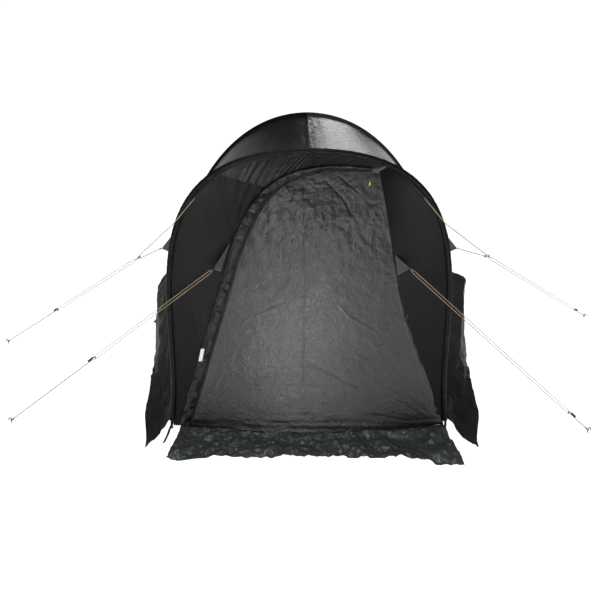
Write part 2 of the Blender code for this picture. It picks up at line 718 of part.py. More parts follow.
def main():
    """Build every sub-part."""
    clear_scene()
    cloth = make_material("black_ripstop_nylon", (0.028, 0.028, 0.029), 0.42)
    skirt_cloth = make_material("crumpled_coated_nylon", (0.034, 0.036, 0.034), 0.38)
    cord = make_material("tan_guy_cord", (0.42, 0.36, 0.26), 0.8)
    steel = make_material("blackened_steel", (0.04, 0.04, 0.04), 0.4, 1.0)
    plastic = make_material("black_nylon_plastic", (0.02, 0.02, 0.02), 0.45)
    brass = make_material("brass_zip_slider", (0.62, 0.45, 0.18), 0.35, 1.0)
    pole_metal = make_material("anodised_aluminium_pole", (0.05, 0.05, 0.055), 0.35, 1.0)
    for name, hoop in (("front", FRONT_HOOP), ("main", MAIN_HOOP), ("foot", FOOT_HOOP)):
        make_pole(name + "_hoop_pole", hoop, pole_metal)
        make_sleeve(name + "_pole_sleeve", hoop, cloth)
    for side, hand in ((-1, "left"), (1, "right")):
        make_bay_panel("front_bay_panel_" + hand, FRONT_HOOP, MAIN_HOOP, side, 6, cloth)
        make_bay_panel("tail_panel_" + hand, MAIN_HOOP, FOOT_HOOP, side, 7, cloth)
    make_zip_side_wall("front_panel_left", 0.0, HEADER_SPLIT - HEADER_GAP, 12, cloth)
    make_zip_side_wall("header_panel", HEADER_SPLIT + HEADER_GAP, 1.0 - 2 * HEADER_GAP, 11, cloth)
    make_hinge_side_wall("front_panel_right", cloth)
    hang_on_hinge([make_door(cloth), make_slider(brass)])
    make_toggle(plastic)
    make_storm_flap(cloth)
    make_foot_end(cloth)
    make_front_skirt(skirt_cloth)
    make_foot_skirt(skirt_cloth)
    for side, hand in ((-1, "left"), (1, "right")):
        make_side_skirt(side, hand, skirt_cloth)
        make_tail_skirt(side, hand, skirt_cloth)
        make_guys(side, hand, cloth, cord, steel, plastic)


main()
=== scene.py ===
# %% [markdown]
# A bivy shelter, dressed for its portrait.
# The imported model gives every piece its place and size. This lesson keeps those sizes and adds the looks:
# thin cloth with its wrinkles, cord, small hardware, light and a camera.

# %% Load the frame
import math

import bpy
import numpy as np
from mathutils import Matrix, Vector
from mathutils.bvhtree import BVHTree


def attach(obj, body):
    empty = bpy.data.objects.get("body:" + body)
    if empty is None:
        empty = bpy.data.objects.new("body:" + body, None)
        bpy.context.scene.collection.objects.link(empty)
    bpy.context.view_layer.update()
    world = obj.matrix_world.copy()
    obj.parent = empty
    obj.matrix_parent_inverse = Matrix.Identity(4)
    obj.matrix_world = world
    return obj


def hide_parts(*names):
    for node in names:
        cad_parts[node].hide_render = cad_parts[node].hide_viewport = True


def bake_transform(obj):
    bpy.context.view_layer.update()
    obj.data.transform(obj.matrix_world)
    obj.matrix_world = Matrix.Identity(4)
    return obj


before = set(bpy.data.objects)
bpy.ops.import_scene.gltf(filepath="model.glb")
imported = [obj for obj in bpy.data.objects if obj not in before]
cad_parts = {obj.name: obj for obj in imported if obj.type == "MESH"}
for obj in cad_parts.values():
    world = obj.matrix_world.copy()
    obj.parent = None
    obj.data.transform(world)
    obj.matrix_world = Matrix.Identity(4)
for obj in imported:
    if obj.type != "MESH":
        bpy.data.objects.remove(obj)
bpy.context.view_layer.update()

# %% [markdown]
# Colours are easiest to read as the hex values of a picture editor. Blender's shaders work in linear light,
# so one function turns the one into the other.

# %% Colour from a hex value
def from_hex(text):
    """The linear colour, with its alpha, of an sRGB hex value."""
    shares = [int(text[i:i + 2], 16) / 255 for i in (1, 3, 5)]
    linear = [s / 12.92 if s <= 0.04045 else ((s + 0.055) / 1.055) ** 2.4 for s in shares]
    return (*linear, 1.0)


print("mid grey", from_hex("#808080"))

# %% [markdown]
# Every material here is a small tree of nodes. One function adds a node, sets it and wires it, so that each
# recipe below reads as a list of steps.

# %% Add a node
def add_node(tree, kind, inputs=None, **settings):
    """Add one node. Inputs hold plain values, or the output socket of another node."""
    node = tree.nodes.new(kind)
    for name, value in settings.items():
        setattr(node, name, value)
    for name, value in (inputs or {}).items():
        if isinstance(value, bpy.types.NodeSocket):
            tree.links.new(value, node.inputs[name])
        else:
            node.inputs[name].default_value = value
    return node


# %% [markdown]
# The photograph was taken by someone who stands a good two and a half metres in front of the door and looks
# down at it. The lens follows from how large the hoop is in a square picture.

# %% Camera
EYE_HEIGHT = 1.568
EYE_DISTANCE = 2.6
EYE_SIDE = -0.032
LOOK_DOWN = math.radians(22.0)
PICTURE = 600
FOCAL_PIXELS = 799.5
SENSOR = 36.0
FRONT_Y = -1.075

camera_data = bpy.data.cameras.new("camera")
camera_data.sensor_width = SENSOR
camera_data.lens = FOCAL_PIXELS / PICTURE * SENSOR
camera = bpy.data.objects.new("camera", camera_data)
bpy.context.scene.collection.objects.link(camera)
camera.location = (EYE_SIDE, FRONT_Y - EYE_DISTANCE, EYE_HEIGHT)
camera.rotation_euler = (math.pi / 2 - LOOK_DOWN, 0.0, 0.0)
bpy.context.scene.camera = camera
print("lens", round(camera_data.lens, 2), "mm")

# %% [markdown]
# A black coated cloth shows the room more than its own colour, so the room is what has to be built. The floor
# is a lit white sweep, as for cut-out pictures. The air around is dim, or the roof, which is seen at a
# grazing angle, would turn white. Soft boxes then put light where the cloth should shine: one that the top of
# the door mirrors, one that makes a bright pool on the floor in front for the door's middle, one overhead for
# the skirts, and one behind on the right for the right half of the roof. The camera itself sees plain white.

# %% Light and floor
FLOOR_SIZE = 400.0
FLOOR_GLOW = 0.98
ROOM_LIGHT = 0.085

world = bpy.data.worlds.new("studio")
bpy.context.scene.world = world
world.use_nodes = True
room = world.node_tree
dim = room.nodes["Background"]
dim.inputs["Color"].default_value = from_hex("#fbfcff")
dim.inputs["Strength"].default_value = ROOM_LIGHT
white = add_node(room, "ShaderNodeBackground", {"Color": from_hex("#ffffff"), "Strength": 1.0})
seen = add_node(room, "ShaderNodeLightPath")
both = add_node(room, "ShaderNodeMixShader", {0: seen.outputs["Is Camera Ray"], 1: dim.outputs["Background"],
                                              2: white.outputs["Background"]})
room.links.new(both.outputs["Shader"], room.nodes["World Output"].inputs["Surface"])
bpy.context.scene.view_settings.view_transform = "Standard"

bpy.ops.mesh.primitive_plane_add(size=FLOOR_SIZE)
floor = bpy.context.object
floor.name = "studio_floor"
floor.location.z = -0.0005
paper = bpy.data.materials.new("lit_white_paper_sweep")
paper.use_nodes = True
sheet_of_paper = paper.node_tree.nodes["Principled BSDF"]
sheet_of_paper.inputs["Base Color"].default_value = from_hex("#f0f0f0")
sheet_of_paper.inputs["Roughness"].default_value = 0.9
sheet_of_paper.inputs["Emission Color"].default_value = from_hex("#ffffff")
sheet_of_paper.inputs["Emission Strength"].default_value = FLOOR_GLOW
floor.data.materials.append(paper)


def soft_box(name, place, aim, size, brightness, spread=180.0):
    """A rectangular lamp of a given brightness that points at a place and stays out of the picture."""
    data = bpy.data.lights.new(name, "AREA")
    data.shape = "RECTANGLE"
    data.size, data.size_y = size
    data.energy = brightness * math.pi * size[0] * size[1]
    data.spread = math.radians(spread)
    lamp = bpy.data.objects.new(name, data)
    bpy.context.scene.collection.objects.link(lamp)
    lamp.location = place
    lamp.rotation_euler = (Vector(aim) - Vector(place)).to_track_quat("-Z", "Y").to_euler()
    lamp.visible_camera = False
    return lamp


soft_box("front_box", (-0.15, -6.5, 2.1), (0, -1.1, 0.9), (2.0, 2.4), 6.0)
soft_box("floor_pool_box", (-0.10, -2.9, 2.4), (-0.10, -2.89, 0.0), (0.16, 2.2), 22.0, 16.0)
soft_box("overhead_box", (-0.2, -0.8, 3.2), (0, -0.9, 0.0), (1.6, 1.6), 4.5)
soft_box("back_right_box", (0.95, 6.0, 2.15), (0.1, 0.0, 1.0), (1.3, 1.1), 3.0)

# %% [markdown]
# The shelter is carried by three bent poles. Each hoop is a smooth curve with four handles, mirrored left and
# right. The numbers are the ones that the model was built with, so cloth that is laid between two hoops lands
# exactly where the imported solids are.

# %% Hoops
MAIN_Y = FRONT_Y + 0.95
FOOT_Y = 1.165
FRONT_HOOP = {"y": FRONT_Y, "foot": 0.516, "leg": (0.426, 0.416), "shoulder": 0.675, "crown": 1.042}
MAIN_HOOP = {"y": MAIN_Y, "foot": 0.632, "leg": (0.621, 0.613), "shoulder": 0.349, "crown": 1.008}
FOOT_HOOP = {"y": FOOT_Y, "foot": 0.36, "leg": (0.375, 0.24), "shoulder": 0.26, "crown": 0.42}
SLEEVE_RADIUS = 0.0104
HEM_HEIGHT = 0.014
WAIST = 0.012


def hoop_at(hoop, u):
    """Half a hoop: x and z at u, from the foot at 0 to the crown at 1."""
    u = np.asarray(u, float)
    v = 1.0 - u
    x = v ** 3 * hoop["foot"] + 3 * u * v * v * hoop["leg"][0] + 3 * u * u * v * hoop["shoulder"]
    z = 3 * u * v * v * hoop["leg"][1] + (3 * u * u * v + u ** 3) * hoop["crown"]
    return x, z


def hoop_share(hoop, z):
    """The u where the leg of the hoop reaches height z."""
    shares = np.linspace(0.0, 1.0, 1001)
    return np.interp(z, hoop_at(hoop, shares)[1], shares)


def hoop_inset(hoop, u, inset):
    """A point inside the hoop by the inset, square to its curve."""
    before, after = hoop_at(hoop, np.maximum(u - 0.01, 0)), hoop_at(hoop, np.minimum(u + 0.01, 1))
    step_x, step_z = after[0] - before[0], after[1] - before[1]
    length = np.hypot(step_x, step_z)
    x, z = hoop_at(hoop, u)
    return x - inset * step_z / length, z + inset * step_x / length


print("front crown", hoop_at(FRONT_HOOP, 1.0))

# %% [markdown]
# Real cloth is never smooth. Three kinds of unevenness are enough for this shelter. Soft hills are the slack
# in a big panel. The same hills pulled long are the streaks where cloth is gathered into a seam. Planes are
# flat facets with sharp creases between them, the dents that stay in coated nylon after it was stuffed in its
# sack. Several sizes of planes on top of each other look crumpled, because that is how real creases divide.

# %% Hills, planes and crumple
LATTICE = 64
CRUMPLE_SHARES = (1.0, 0.5, 0.24)
CRUMPLE_TURNS = (0.5, 1.3, 2.2)


def corner_values(table, cell_x, cell_y):
    """The four values of a table round each cell."""
    return [table[(cell_x + i) % LATTICE, (cell_y + j) % LATTICE] for i, j in ((0, 0), (1, 0), (0, 1), (1, 1))]


def hills(x, y, seed):
    """Smooth random hills about two units apart, from about -1 to 1."""
    x, y = np.broadcast_arrays(x, y)
    turn = np.random.default_rng(seed).uniform(0, 2 * math.pi, (LATTICE, LATTICE))
    cell_x, cell_y = np.floor(x).astype(int), np.floor(y).astype(int)
    part_x, part_y = x - cell_x, y - cell_y
    ease_x, ease_y = [p * p * p * (p * (6 * p - 15) + 10) for p in (part_x, part_y)]
    slopes = []
    for angle, dx, dy in zip(corner_values(turn, cell_x, cell_y), (0, 1, 0, 1), (0, 0, 1, 1)):
        slopes.append(np.cos(angle) * (part_x - dx) + np.sin(angle) * (part_y - dy))
    low = slopes[0] + (slopes[1] - slopes[0]) * ease_x
    high = slopes[2] + (slopes[3] - slopes[2]) * ease_x
    return 1.5 * (low + (high - low) * ease_y)


def planes(x, y, seed):
    """Flat facets about a unit across with sharp creases between them, from -1 to 1."""
    random = np.random.default_rng(seed)
    heights, leans = random.uniform(-1, 1, (LATTICE, LATTICE)), random.random((LATTICE, LATTICE)) < 0.5
    cell_x, cell_y = np.floor(x).astype(int), np.floor(y).astype(int)
    px, py = x - cell_x, y - cell_y
    low, right, up, far = corner_values(heights, cell_x, cell_y)
    rising = np.where(px > py, low + (right - low) * px + (far - right) * py,
                      low + (far - up) * px + (up - low) * py)
    falling = np.where(px + py < 1, low + (right - low) * px + (up - low) * py,
                       far + (up - far) * (1 - px) + (right - far) * (1 - py))
    return np.where(leans[cell_x % LATTICE, cell_y % LATTICE], rising, falling)


def crumple(x, y, size, seed):
    """Creases of three sizes, the largest about a size apart, as in cloth that was folded up."""
    x, y = np.broadcast_arrays(x, y)
    total = np.zeros(x.shape)
    for octave, (share, turn) in enumerate(zip(CRUMPLE_SHARES, CRUMPLE_TURNS)):
        scale = size * 0.52 ** octave
        bent_x = x + 0.35 * scale * hills(x / scale, y / scale, seed + 20 + octave)
        bent_y = y + 0.35 * scale * hills(x / scale, y / scale, seed + 30 + octave)
        across = (bent_x * math.cos(turn) + bent_y * math.sin(turn)) / scale
        along = (bent_y * math.cos(turn) - bent_x * math.sin(turn)) / scale
        total += share * planes(across, 0.7 * along, seed + octave)
    return total


print("crumple spread", crumple(*np.meshgrid(np.linspace(0, 1, 40), np.linspace(0, 1, 40)), 0.2, 1).std())

# %% [markdown]
# Each panel is one continuous sheet: a fine grid of points, pushed in and out along its own normal, with a
# Solidify modifier for the real thickness of coated cloth. The grid's rows and columns also give it a map in
# metres, which the weave of the material follows.

# %% Cloth from a grid of points
CLOTH_THICKNESS = 0.0006
BELOW_GROUND = np.array([0.0, 0.0, -1.0])


def outward(points):
    """The unit normals of a grid, turned to the outside of the shelter, and whether they were turned."""
    normal = np.cross(np.gradient(points, axis=1), np.gradient(points, axis=0))
    normal /= np.linalg.norm(normal, axis=2, keepdims=True) + 1e-12
    turned = np.sum(normal * (points - BELOW_GROUND)) < 0
    return (-normal if turned else normal), turned


def pushed(points, height):
    """The grid moved along its normals by a height for each point."""
    return points + outward(points)[0] * np.asarray(height)[..., None]


def map_in_metres(points):
    """Lengths along the columns and rows of a grid, for the weave."""
    across = np.linalg.norm(np.diff(points, axis=1), axis=2).mean(axis=0)
    along = np.linalg.norm(np.diff(points, axis=0), axis=2).mean(axis=1)
    columns = np.concatenate([[0.0], np.cumsum(across)])
    rows = np.concatenate([[0.0], np.cumsum(along)])
    return np.stack(np.meshgrid(columns, rows), axis=-1)


def surface(name, points, materials, closed=False, spots=None):
    """A mesh object from a grid of points. A closed grid joins its last column to its first."""
    rows, columns = points.shape[:2]
    index = np.arange(rows * columns).reshape(rows, columns)
    if closed:
        index = np.concatenate([index, index[:, :1]], axis=1)
    corners = [index[:-1, :-1], index[:-1, 1:], index[1:, 1:], index[1:, :-1]]
    faces = np.stack(corners, axis=-1).reshape(-1, 4)
    if not closed and outward(points)[1]:
        faces = faces[:, ::-1]
    data = bpy.data.meshes.new(name)
    data.from_pydata(points.reshape(-1, 3).tolist(), [], faces.tolist())
    metres = (map_in_metres(points) if spots is None else spots).reshape(-1, 2)
    corner_points = np.zeros(len(data.loops), int)
    data.loops.foreach_get("vertex_index", corner_points)
    data.uv_layers.new(name="metres").data.foreach_set("uv", metres[corner_points].ravel())
    for material in materials:
        data.materials.append(material)
    data.shade_smooth()
    made = bpy.data.objects.new(name, data)
    bpy.context.scene.collection.objects.link(made)
    return made


def thicken(made, thickness=CLOTH_THICKNESS):
    """Give a sheet the thickness of its cloth, inwards from the modelled side."""
    wall = made.modifiers.new("thickness", "SOLIDIFY")
    wall.thickness = thickness
    wall.offset = -1.0
    return made


def cloth_area(points):
    """The area of a grid in square metres."""
    across, along = np.diff(points, axis=1)[:-1], np.diff(points, axis=0)[:, :-1]
    return float(np.linalg.norm(np.cross(across, along), axis=2).sum())


def dress(made, node, body="shelter"):
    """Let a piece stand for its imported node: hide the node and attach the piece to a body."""
    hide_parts(*([node] if isinstance(node, str) else node))
    if body:
        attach(made, body)
    return made


print("cloth is", CLOTH_THICKNESS * 1000, "mm thick")

# %% [markdown]
# The shell is nylon, woven in plain ripstop and coated on one side. The yarns are thinner than a tenth of a
# millimetre, so what the eye gets at this distance is a soft lustre, a faint grid of heavier yarns every few
# millimetres, and fine creases. The lustre is a middling roughness on a nearly black colour. The grid and the
# finest creases are bump, because they are too fine for the mesh.

# %% Coated ripstop nylon
RIPSTOP_GRID = 0.006


def ripstop_nylon(name, dark, light, roughness, ior, crease_bump, crease_size=0.012, crease_detail=5.0):
    """Coated nylon cloth between two close colours."""
    made = bpy.data.materials.new(name)
    made.use_nodes = True
    tree = made.node_tree
    shader = tree.nodes["Principled BSDF"]
    place = add_node(tree, "ShaderNodeTexCoord").outputs["UV"]
    clouds = add_node(tree, "ShaderNodeTexNoise", {"Vector": place, "Scale": 9.0, "Detail": 6.0}).outputs["Fac"]
    colour = add_node(tree, "ShaderNodeValToRGB", {"Fac": clouds})
    colour.color_ramp.elements[0].position = 0.3
    colour.color_ramp.elements[0].color = from_hex(dark)
    colour.color_ramp.elements[1].position = 0.7
    colour.color_ramp.elements[1].color = from_hex(light)
    tree.links.new(colour.outputs["Color"], shader.inputs["Base Color"])
    wear = add_node(tree, "ShaderNodeTexNoise", {"Vector": place, "Scale": 26.0, "Detail": 4.0}).outputs["Fac"]
    worn = add_node(tree, "ShaderNodeMapRange", {"Value": wear, "To Min": roughness - 0.06,
                                                 "To Max": roughness + 0.08})
    tree.links.new(worn.outputs["Result"], shader.inputs["Roughness"])
    shader.inputs["IOR"].default_value = ior
    crease_values = {"Vector": place, "Scale": 1 / crease_size, "Detail": crease_detail, "Roughness": 0.62,
                     "Distortion": 0.6}
    creases = add_node(tree, "ShaderNodeTexNoise", crease_values).outputs["Fac"]
    folded = add_node(tree, "ShaderNodeMath", {0: creases, 1: 0.5}, operation="SUBTRACT").outputs["Value"]
    sharp = add_node(tree, "ShaderNodeMath", {0: folded}, operation="ABSOLUTE").outputs["Value"]
    yarns = []
    for direction in ("X", "Y"):
        bands = add_node(tree, "ShaderNodeTexWave", {"Vector": place, "Scale": math.pi / 10 / RIPSTOP_GRID},
                         wave_type="BANDS", bands_direction=direction)
        yarns.append(add_node(tree, "ShaderNodeMath", {0: bands.outputs["Fac"], 1: 12.0}, operation="POWER"))
    grid = add_node(tree, "ShaderNodeMath", {0: yarns[0].outputs["Value"], 1: yarns[1].outputs["Value"]},
                    operation="MAXIMUM").outputs["Value"]
    first = add_node(tree, "ShaderNodeBump", {"Height": sharp, "Distance": crease_bump, "Strength": 0.8})
    second = add_node(tree, "ShaderNodeBump", {"Height": grid, "Distance": 0.0002, "Strength": 0.35,
                                               "Normal": first.outputs["Normal"]})
    tree.links.new(second.outputs["Normal"], shader.inputs["Normal"])
    return made


# Nylon itself is near IOR 1.53. Several cloths in the photograph give back far less light than that. The lower
# values are fitted to its brightness. They aren't measured. On the walls beside the door, the header and the
# left half of the roof, the low values with the darker colours are painted shade on the door's own nylon. On
# the front skirt, a lighter colour and the full IOR are painted light. On the other cloths the low values may
# stand for a rough uncoated side.
door_nylon = ripstop_nylon("coated_ripstop_nylon_door", "#1d1d1e", "#242425", 0.33, 1.53, 0.0042, 0.019, 2.0)
roof_right_nylon = ripstop_nylon("coated_ripstop_nylon_glossy", "#1c1d1e", "#242527", 0.27, 1.53, 0.0005)
# The left half of the roof: the right half's nylon with a darker colour and a low IOR, painted shade.
roof_left_painted_shade_nylon = ripstop_nylon("coated_ripstop_nylon_roof_painted_shade", "#0c0c0d", "#121213", 0.36, 1.12, 0.0005)
tail_nylon = ripstop_nylon("coated_ripstop_nylon_tail", "#1a1a1b", "#212122", 0.34, 1.42, 0.0006)
# The walls beside the door: the door's nylon made darker, with a low IOR, painted shade.
wall_painted_shade_nylon = ripstop_nylon("ripstop_nylon_walls_painted_shade", "#0d0d0e", "#141415", 0.45, 1.20, 0.0008)
# The header: the door's nylon made darker, with a low IOR, painted shade.
header_painted_shade_nylon = ripstop_nylon("ripstop_nylon_gathered_painted_shade", "#111112", "#19191a", 0.40, 1.30, 0.0012)
sleeve_nylon = ripstop_nylon("ripstop_nylon_sleeve", "#0a0a0b", "#111112", 0.50, 1.22, 0.0006)
skirt_nylon = ripstop_nylon("crumpled_polyurethane_coated_nylon", "#2b2e2c", "#393d3a", 0.48, 1.20, 0.0040,
                            0.024, 2.0)
# The front skirt: the skirt nylon made lighter and given the full IOR, painted light where it lies flat.
flat_skirt_painted_light_nylon = ripstop_nylon("crumpled_coated_nylon_painted_light", "#414642", "#545a56", 0.30, 1.53, 0.0060,
                                 0.024, 1.5)
flap_nylon = ripstop_nylon("crumpled_coated_nylon_flap", "#0f1110", "#191b1a", 0.32, 1.33, 0.0060, 0.018, 2.0)
patch_nylon = ripstop_nylon("reinforced_grey_nylon", "#3c4140", "#4b504f", 0.5, 1.42, 0.0010)
print("cloths", [m.name for m in bpy.data.materials if "nylon" in m.name])

# %% [markdown]
# The front bay is the roof that shows above the door. It is stretched from hoop to hoop in two halves that
# meet in a ridge seam. Between the hoops the cloth draws in to a slight waist, and beside the seam the thread
# gathers it into short puckers.

# %% Front bay and tail
BAY_ROWS = 130
BAY_COLUMNS = 112
TAIL_ROWS = 84
TAIL_COLUMNS = 90
COVER = SLEEVE_RADIUS + 0.0012
SEAM_PUCKER_LENGTH = 0.055
RIGHT_GATHER = ((0.070, 0.66), (0.087, 0.58), (0.121, 0.452), (0.183, 0.254), (0.252, 0.014))


def ease(t):
    """A smooth step from 0 to 1."""
    t = np.clip(t, 0, 1)
    return t * t * (3 - 2 * t)


def distance_to_line(x, z, line):
    """How far each point is from a line of straight stretches."""
    nearest = np.full(np.shape(x), 9.0)
    for (x0, z0), (x1, z1) in zip(line, line[1:]):
        reach = ((x1 - x0) ** 2 + (z1 - z0) ** 2)
        t = np.clip(((x - x0) * (x1 - x0) + (z - z0) * (z1 - z0)) / reach, 0, 1)
        nearest = np.minimum(nearest, np.hypot(x - x0 - t * (x1 - x0), z - z0 - t * (z1 - z0)))
    return nearest


def bay_points(near, far, side, rows, columns, near_reach, far_reach):
    """The cloth between two hoops on one side, from the hem to the ridge, with closer rows near the ridge."""
    low = hoop_share(near, HEM_HEIGHT)
    shares = low + (1 - low) * (1 - (1 - np.linspace(0, 1, rows)) ** 1.5)
    u, w = np.meshgrid(shares, np.linspace(0.0, 1.0, columns), indexing="ij")
    (near_x, near_z), (far_x, far_z) = hoop_at(near, u), hoop_at(far, u)
    start, end = near["y"] + near_reach, far["y"] - far_reach
    waist = WAIST * 4 * w * (1 - w)
    x = np.maximum(near_x + (far_x - near_x) * w - waist * (1 - u), 0.0)
    z = near_z + (far_z - near_z) * w - waist * u
    return np.stack([side * x, start + (end - start) * w, z], axis=-1)


def tension(points, side, seed, hoop_y):
    """Slack, lines of pull, puckers along the ridge seam, and the rise over the sleeve of the main hoop."""
    x, y, _ = np.moveaxis(points, -1, 0)
    metres = map_in_metres(points)
    girth = metres[..., 1]
    from_seam = girth.max() - girth
    soft = 0.0016 * hills(girth * 2.2, y * 3.0, seed)
    pulls = 0.0006 * hills(girth * 26, y * 2.0, seed + 1)
    near_seam = np.exp(-from_seam / SEAM_PUCKER_LENGTH)
    puckers = (0.0011 + 0.0005 * (side < 0)) * near_seam * crumple(from_seam, y, 0.022, seed + 2)
    ripples = 0.0009 * near_seam * hills(from_seam * 10, y * 90, seed + 3)
    seam = 0.0008 * ease(1.6 - from_seam / 0.006)
    ends = ease(np.minimum(y - y.min(), y.max() - y) / 0.04)
    rise = COVER * ease(1.2 - np.abs(y - hoop_y) / 0.035)
    return (soft + pulls + puckers + ripples) * ends + seam * ends + rise


def gather_on_right(points):
    """The short dents along the line where the right half is drawn in, and the long pulls below it."""
    x, y, _ = np.moveaxis(points, -1, 0)
    s = y - FRONT_Y
    away = distance_to_line(x, s, RIGHT_GATHER)
    dents = 0.0013 * np.exp(-(away / 0.013) ** 2) * crumple(x, s, 0.020, 35)
    outside = ease((x - np.interp(-s, [-p[1] for p in RIGHT_GATHER], [p[0] for p in RIGHT_GATHER])) / 0.03)
    pulls = 0.0007 * outside * np.exp(-away / 0.16) * hills((x + 0.30 * s) * 52, (s - 0.3 * x) * 4, 36)
    return dents + pulls


def ridge_closed(points):
    """The grid with its last row moved onto the ridge, where both halves meet."""
    points[-1, :, 0] = 0.0
    return points


# The left half gets the roof nylon with painted shade, the right half the plain one.
for side, hand, material in ((-1, "left", roof_left_painted_shade_nylon), (1, "right", roof_right_nylon)):
    grid = bay_points(FRONT_HOOP, MAIN_HOOP, side, BAY_ROWS, BAY_COLUMNS, 0.8 * SLEEVE_RADIUS, 0.0)
    height = tension(grid, side, 30 + side, MAIN_Y)
    if side > 0:
        height = height + gather_on_right(grid)
    roof = thicken(surface("front_bay_cloth_" + hand, ridge_closed(pushed(grid, height)), [material]))
    dress(roof, "front_bay_panel_" + hand)
    grid = bay_points(MAIN_HOOP, FOOT_HOOP, side, TAIL_ROWS, TAIL_COLUMNS, 0.0, 0.8 * SLEEVE_RADIUS)
    height = tension(grid, side, 40 + side, MAIN_Y)
    tail = thicken(surface("tail_cloth_" + hand, ridge_closed(pushed(grid, height)), [tail_nylon]))
    dress(tail, "tail_panel_" + hand)
    print(hand, "bay and tail", len(roof.data.polygons), len(tail.data.polygons))

# %% [markdown]
# A sleeve is a strip of cloth folded round the pole and stitched down. It stays round because the pole fills
# it, but the seam pulls short wrinkles into it all the way.

# %% Pole sleeves
SLEEVE_FOOT = 0.035
SLEEVE_RINGS = {"front": 520, "main": 260, "foot": 260}
SLEEVE_SIDES = 14


def whole_hoop(hoop, low_z, count):
    """Points over a hoop from the left foot to the right one."""
    x, z = hoop_at(hoop, np.linspace(hoop_share(hoop, low_z), 1.0, count // 2 + 1))
    right = np.stack([x, np.full_like(x, hoop["y"]), z], axis=-1)
    left = right * [-1, 1, 1]
    return np.concatenate([left, right[-2::-1]])


def tube_points(line, radius, sides, across=(0.0, 1.0, 0.0)):
    """Rings of points around a line."""
    along = np.gradient(line, axis=0)
    along /= np.linalg.norm(along, axis=1, keepdims=True)
    first = np.cross(along, np.asarray(across))
    first /= np.linalg.norm(first, axis=1, keepdims=True)
    second = np.cross(along, first)
    angle = np.linspace(0, 2 * math.pi, sides, endpoint=False)[None, :, None]
    ring = first[:, None] * np.cos(angle) + second[:, None] * np.sin(angle)
    return line[:, None] + ring * np.asarray(radius)[..., None]


for name, hoop in (("front", FRONT_HOOP), ("main", MAIN_HOOP), ("foot", FOOT_HOOP)):
    line = whole_hoop(hoop, SLEEVE_FOOT, SLEEVE_RINGS[name])
    length, turn = np.meshgrid(np.linspace(0, 3.0, len(line)), np.linspace(0, 1, SLEEVE_SIDES), indexing="ij")
    wrinkled = 0.0097 + 0.0009 * hills(length * 60, turn * 3, 60) + 0.0006 * hills(length * 130, turn * 4, 61)
    grid = tube_points(line, wrinkled, SLEEVE_SIDES)
    sleeve = surface(name + "_sleeve_cloth", grid, [sleeve_nylon], closed=True,
                     spots=np.stack([length, turn * 0.066], axis=-1))
    thicken(sleeve)
    dress(sleeve, name + "_pole_sleeve")
    print(name, "sleeve", len(sleeve.data.polygons))

# %% [markdown]
# The front wall is cut from several pieces. Its shape is an upright wall that leans back under the crown and
# bellies forward at the hem. The zip climbs from the left foot and arches over to the right, and the other
# edge of the door is sewn to the wall.

# %% The front wall's shape
TOP_RECESS = 0.09
RECESS_POWER = 3.5
HEM_BULGE = 0.045
HEM_BULGE_HEIGHT = 0.5
DOOR_CLEARANCE = 0.012
ZIP_FOOT = (-0.446, HEM_HEIGHT)
ZIP_SPRING = (-0.270, 0.590)
ZIP_RISE_HANDLE = (-0.167, 0.935)
ZIP_CROWN_HANDLE = (-0.070, 0.972)
DOOR_TOP = (0.236, 0.952)
DOOR_FOOT = (0.488, HEM_HEIGHT)
SEWN_EDGE_BOW = 0.034
HEADER_SPLIT = 0.72
HEADER_LEFT_SPLIT = 0.80
HEADER_RIGHT_SPLIT = 0.84


def wall_depth(x, z):
    """How far the front wall lies behind the front hoop."""
    across = np.maximum(0.0, 1 - (x / DOOR_FOOT[0]) ** 2)
    bulge = HEM_BULGE * across * np.maximum(0.0, 1 - z / HEM_BULGE_HEIGHT) ** 2
    return TOP_RECESS * (np.maximum(z, 0.0) / DOOR_TOP[1]) ** RECESS_POWER - bulge


def on_wall(x, z, forward=0.0):
    """Points of the door's plane at x and z, moved forward if asked."""
    return np.stack([x, FRONT_Y + wall_depth(x, z) - forward, z], axis=-1)


def zip_edge(t):
    """The zipped edge of the door, from the hem at 0 to the top of the sewn edge at 1."""
    t = np.asarray(t, float)
    rise, arch = np.clip(t * 2, 0, 1), np.clip(t * 2 - 1, 0, 1)
    back = 1 - arch
    shares = (back ** 3, 3 * arch * back ** 2, 3 * arch ** 2 * back, arch ** 3)
    handles = (ZIP_SPRING, ZIP_RISE_HANDLE, ZIP_CROWN_HANDLE, DOOR_TOP)
    curved = [sum(share * handle[i] for share, handle in zip(shares, handles)) for i in (0, 1)]
    straight = [ZIP_FOOT[i] + (ZIP_SPRING[i] - ZIP_FOOT[i]) * rise for i in (0, 1)]
    return [np.where(t < 0.5, straight[i], curved[i]) for i in (0, 1)]


def sewn_edge(t, foot=DOOR_FOOT[0]):
    """The sewn edge of the door, from the hem at 0 to the top at 1, with its slight bow."""
    bow = SEWN_EDGE_BOW * np.sin(math.pi * t) ** 2
    return foot + (DOOR_TOP[0] - foot) * t - bow, DOOR_FOOT[1] + (DOOR_TOP[1] - DOOR_FOOT[1]) * t


def beside(edge, t, distance, turn):
    """Points beside an edge of the door, on the wall's surface."""
    (x0, z0), (x1, z1) = edge(np.maximum(t - 0.01, 0)), edge(np.minimum(t + 0.01, 1))
    length = np.hypot(x1 - x0, z1 - z0)
    x, z = edge(t)
    x = x - turn * distance * (z1 - z0) / length
    z = z + turn * distance * (x1 - x0) / length
    return on_wall(x, np.maximum(z, HEM_HEIGHT))


